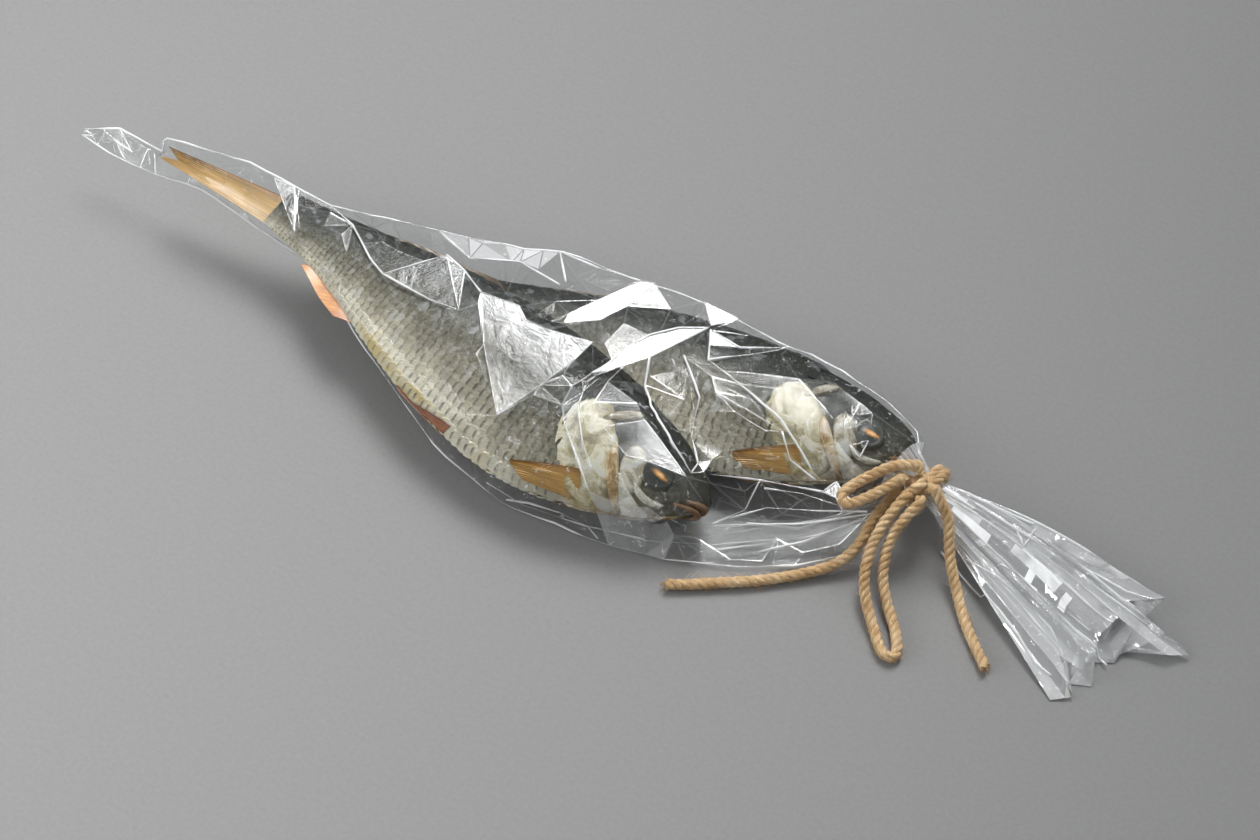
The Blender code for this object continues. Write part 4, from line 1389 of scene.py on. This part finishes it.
mouth_mesh = bmesh.new()
mouth_chance = random.Random(41)
hem = closed_line(HEM_TOP + HEM_LOW, PLEATS_EACH)
count = len(hem)
folds_at_neck = [mouth_chance.uniform(-0.55, 0.35) for _ in range(count)]
flutter = [mouth_chance.uniform(-1.0, 1.0) for _ in range(count)]
loops = []
for step in range(-INNER_STEPS, MOUTH_STEPS + 1):
    mix = max(0.0, step / MOUTH_STEPS)
    loop = []
    for i, goal in enumerate(hem):
        angle = 2 * math.pi * (i / count) + math.radians(10)
        outward = round_neck(angle)
        radius = NECK_RADIUS - 0.35 + folds_at_neck[i] * (1 if i % 2 else -0.6)
        start = NECK_CENTRE + NECK_AXIS * 3.2 + outward * radius
        if step < 0:
            start += NECK_AXIS * (step * INNER_STEP) + outward * max(0, -step - 2) * 1.1
        place = start.lerp(goal, mix ** 1.06)
        sway = math.sin(math.pi * min(1.0, mix * 1.1))
        place += Vector((0, FLUTTER_ASIDE * flutter[i], FLUTTER_UP * flutter[i])) * sway
        place.y += 2.0 * sway * (i / count < 0.3)
        if step < 0:
            place = cleared(place)
        loop.append(mouth_mesh.verts.new(at_least(place, MOUTH_LOWEST)))
    loops.append(loop)
top_columns = len(HEM_TOP) * PLEATS_EACH
pleat_columns = [
    [loop[i].co.copy() for loop in loops[INNER_STEPS:]] for i in range(0, top_columns, 4)
]
mouth_state = mouth_mesh.faces.layers.float_vector.new("film_state")
# Each pleat gets a random share of mirroring and of painted white, which is a painted highlight.
pleat_shine_paint = [mouth_chance.random() for _ in range(count)]
for step, (loop, following) in enumerate(zip(loops, loops[1:])):
    for k in range(count):
        j = (k + 1) % count
        face = mouth_mesh.faces.new((loop[k], loop[j], following[j], following[k]))
        middle = (loop[k].co + following[j].co) / 2
        if k < top_columns and any(inside(glint, middle.x, middle.y) for glint in MOUTH_GLINTS):
            face[mouth_state] = (6.0, 1.2, 0.3)
        else:
            bright = max(0.0, pleat_shine_paint[(k // 2 * 5) % count] - 0.4)
            face[mouth_state] = (1.5 + 5.0 * pleat_shine_paint[k], 0.16 + 0.7 * bright, 0.4)
# Faces close the hem between the two layers and are painted a little white: a painted highlight along the
# hem.
for i in range(count // 2):
    a, b, c, d = loops[-1][i], loops[-1][(i + 1) % count], loops[-1][-1 - i], loops[-1][-2 - i]
    if len({a, b, c, d}) == 4 and i < count // 2 - 1:
        mouth_mesh.faces.new((a, c, d, b))[mouth_state] = (2.0, 0.3, 0.0)
mouth_mesh.normal_update()
mouth_tree = BVHTree.FromBMesh(mouth_mesh)
pleat_edges = [
    edge for edge in mouth_mesh.edges
    if edge.is_manifold and abs(edge.verts[0].co.x - edge.verts[1].co.x) > PLEAT_SHORTEST
    and edge.calc_face_angle() > math.radians(PLEAT_DEGREES)
]
pleat_lines = bmesh.ops.bevel(
    mouth_mesh, geom=pleat_edges, offset=PLEAT_OFFSET, segments=2, profile=0.5, affect="EDGES",
    material=-1, clamp_overlap=True,
)["faces"]
# The pleat lines are painted white in places: a painted highlight along each pleat.
for face in pleat_lines:
    middle = face.calc_center_median()
    strength = noise.noise(Vector((middle.x * 0.03, middle.y * 0.5, middle.z * 0.5))) + 0.35
    face[mouth_state] = (2.0, min(1.0, max(0.0, strength)), 0.0)
bmesh.ops.scale(mouth_mesh, vec=(MM, MM, MM), verts=mouth_mesh.verts)
mouth_mesh.verts.layers.float.new("cling")
film_mouth = finished("clear_film_neck_and_mouth", mouth_mesh, film, 180)
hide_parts("bag")


# The film's hard folds and edges: along the rims, the creases and a few pleats the film is bent so tightly
# that it stands up as a thin bead. It is painted white in places, a painted highlight along the fold, in
# part the film's own stretched white.
FAN_LINES = (  # drawn from the tie along the film between the bellies and the near rim
    ((78.0, 5.0, 8.6), (64.0, -5.5, 6.6), (50.0, -14.0, 6.2), (40.0, -20.5, 6.0)),
    ((77.5, 3.5, 7.0), (62.0, -10.0, 4.2), (46.0, -21.5, 3.4), (30.0, -29.0, 2.6)),
    ((77.0, 4.5, 9.6), (66.0, -1.0, 8.4), (54.0, -7.0, 8.2), (46.5, -15.0, 7.6)),
    ((74.0, 0.5, 6.2), (66.0, -8.5, 3.6), (56.0, -17.5, 2.2)),
    ((70.0, 2.5, 9.4), (60.0, 0.5, 9.8), (51.0, -3.5, 10.5)),
    ((30.0, -28.5, 2.4), (14.0, -33.0, 2.2), (-2.0, -36.0, 2.4), (-14.0, -35.5, 3.2)),
    ((-7.1, -36.9, 2.4), (-1.0, -34.9, 3.0), (7.3, -33.5, 3.4), (15.6, -33.0, 2.8),
     (19.4, -34.2, 1.6)),
)
MOUTH_LINES = (  # drawn along the pleats of the mouth's upper layer, in plan
    ((97.3, 8.6), (108.9, 3.2), (117.9, 0.0), (125.6, -3.6), (132.7, -8.2), (138.0, -9.3)),
    ((91.0, 22.0), (97.0, 22.9), (105.7, 23.2), (115.4, 24.0)),
    ((111.1, 20.8), (116.2, 16.5), (116.4, 23.4)),
    ((102.9, 7.4), (114.5, 6.4), (124.5, 4.0), (132.0, 1.8), (138.4, -2.9)),
    ((116.2, 5.9), (130.0, 4.5), (142.3, 3.1), (148.7, 0.9)),
    ((120.1, 22.0), (131.1, 21.0), (144.0, 20.6), (151.4, 22.0)),
    ((96.0, 12.0), (110.0, 9.0), (126.0, 8.5), (141.0, 6.0)),
    ((100.0, 20.0), (118.0, 19.5), (136.0, 17.0), (152.0, 15.4), (163.0, 14.2)),
)
LINE_STEP = 1.2
LINE_RADIUS = 0.28
LINE_SIDES = 5
LINES_ASIDE, LINES_LOWEST, LINES_HIGHEST = 37.6, 0.35, 25.6  # the box that the beads stay in


def on_mouth(place):
    """The place, laid on the mouth's upper layer."""
    hit = mouth_tree.ray_cast(Vector((place.x, place.y, WELL_CLEAR)), Vector((0, 0, -1)))[0]
    return Vector((place.x, place.y, hit.z + 0.1 if hit else 1.0))


def fold_line(bm, corners, seed, least, settle=cleared):
    """A bead along a fold, thicker and painted whiter in some places than in others: a painted highlight.
    """
    points = []
    for a, b in zip(corners, corners[1:]):
        a, b = Vector(a).to_3d(), Vector(b).to_3d()
        count = max(1, round((b - a).length / LINE_STEP))
        points += [a.lerp(b, i / count) for i in range(count)]
    points.append(Vector(corners[-1]).to_3d())
    points = [settle(point) for point in points]
    for point in points:
        point.y = min(LINES_ASIDE, max(-LINES_ASIDE, point.y))
        point.z = min(LINES_HIGHEST, max(LINES_LOWEST, point.z + 0.08))
    white = [noise.noise(Vector((i * 0.11, seed * 3.7, 0.5))) for i in range(len(points))]
    white = [min(1.0, max(0.0, least + 1.5 * value)) for value in white]
    radii = [LINE_RADIUS * (0.35 + 0.85 * value) for value in white]
    first = len(bm.verts)
    sweep(bm, points, radii, LINE_SIDES, white, 0.0)
    bm.verts.ensure_lookup_table()
    state = bm.verts.layers.float_vector["film_state"]
    lay = bm.verts.layers.float_vector["lay"]
    for vert in bm.verts[first:]:
        vert[state] = (2.0, 0.15 + 0.85 * vert[lay].x, 0.0)


lines_mesh = bmesh.new()
lines_mesh.verts.layers.float_vector.new("film_state")
lines_mesh.verts.layers.float_vector.new("lay")
half = len(rim_places) // 2
fold_line(lines_mesh, rim_places[:half], 1, 0.75, Vector)
fold_line(lines_mesh, rim_places[half:], 2, 0.45, Vector)
for i, line in enumerate(CREASES):
    fold_line(lines_mesh, line, 5 + i, 0.55)
for i, facet in enumerate(FACETS):
    fold_line(lines_mesh, (*facet, facet[0]), 40 + i, 0.8 if i == 5 else 0.25)
for i, line in enumerate(FAN_LINES):
    fold_line(lines_mesh, line, 70 + i, 0.85 if i == 6 else 0.4)
for i, column in enumerate(pleat_columns):
    fold_line(lines_mesh, column, 90 + i, 0.5, Vector)
for i, line in enumerate(MOUTH_LINES):
    fold_line(lines_mesh, line, 110 + i, 0.9 if i < 3 else 0.5, on_mouth)
film_lines = finished("clear_film_fold_lines", lines_mesh, film, 180)
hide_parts("bag")


# Studio: a pale grey sweep of paper, a wide soft box behind and to the left, which the level
# facets of the film mirror, a brighter pane in the middle of it, a low fill from the near left,
# and a dim room.
paper = new_material("seamless_paper")
paper_grain = grain(paper, own_places(paper), 900.0, 3.0)
surface(paper, {
    "Base Color": ramp(paper, paper_grain, (0.3, "#898988"), (0.7, "#8e8e8e")), "Roughness": 0.95,
    "Specular IOR Level": 0.2,
})
floor_mesh = bmesh.new()
bmesh.ops.create_grid(floor_mesh, x_segments=1, y_segments=1, size=3.0)
floor_data = bpy.data.meshes.new("paper_floor")
floor_mesh.to_mesh(floor_data)
floor_mesh.free()
floor_data.materials.append(paper)
floor = bpy.data.objects.new("paper_floor", floor_data)
bpy.context.scene.collection.objects.link(floor)


LIT_MOST = Vector((-150.0, -120.0, 0.0))  # where the lamps point


def soft_box(name, direction, distance, width, height, power, spread_degrees=180):
    """A rectangular area lamp that faces a little to the left of the pack."""
    lamp = bpy.data.lights.new(name, "AREA")
    lamp.shape = "RECTANGLE"
    lamp.size = width
    lamp.size_y = height
    lamp.energy = power
    lamp.spread = math.radians(spread_degrees)
    holder = bpy.data.objects.new(name, lamp)
    place = Vector(direction).normalized() * distance
    holder.location = place
    holder.rotation_euler = (place - LIT_MOST * MM).to_track_quat("Z", "Y").to_euler()
    bpy.context.scene.collection.objects.link(holder)


soft_box("key_window", (-0.27, 0.52, 0.81), 1.3, 0.75, 0.90, 2.2, 40)
soft_box("bright_pane", (-0.20, 0.56, 0.80), 1.25, 0.22, 0.30, 0.25, 60)
soft_box("near_fill", (-0.75, -0.50, 0.45), 0.75, 0.45, 0.35, 2.6)

room = bpy.data.worlds.new("studio_room")
room.use_nodes = True
room.node_tree.nodes["Background"].inputs["Color"].default_value = (0.50, 0.51, 0.52, 1.0)
room.node_tree.nodes["Background"].inputs["Strength"].default_value = 0.72
bpy.context.scene.world = room
bpy.context.scene.view_settings.view_transform = "Standard"
# A line of sight passes up to four sheets of film, two fish and many beads.
bpy.context.scene.cycles.transparent_max_bounces = 24
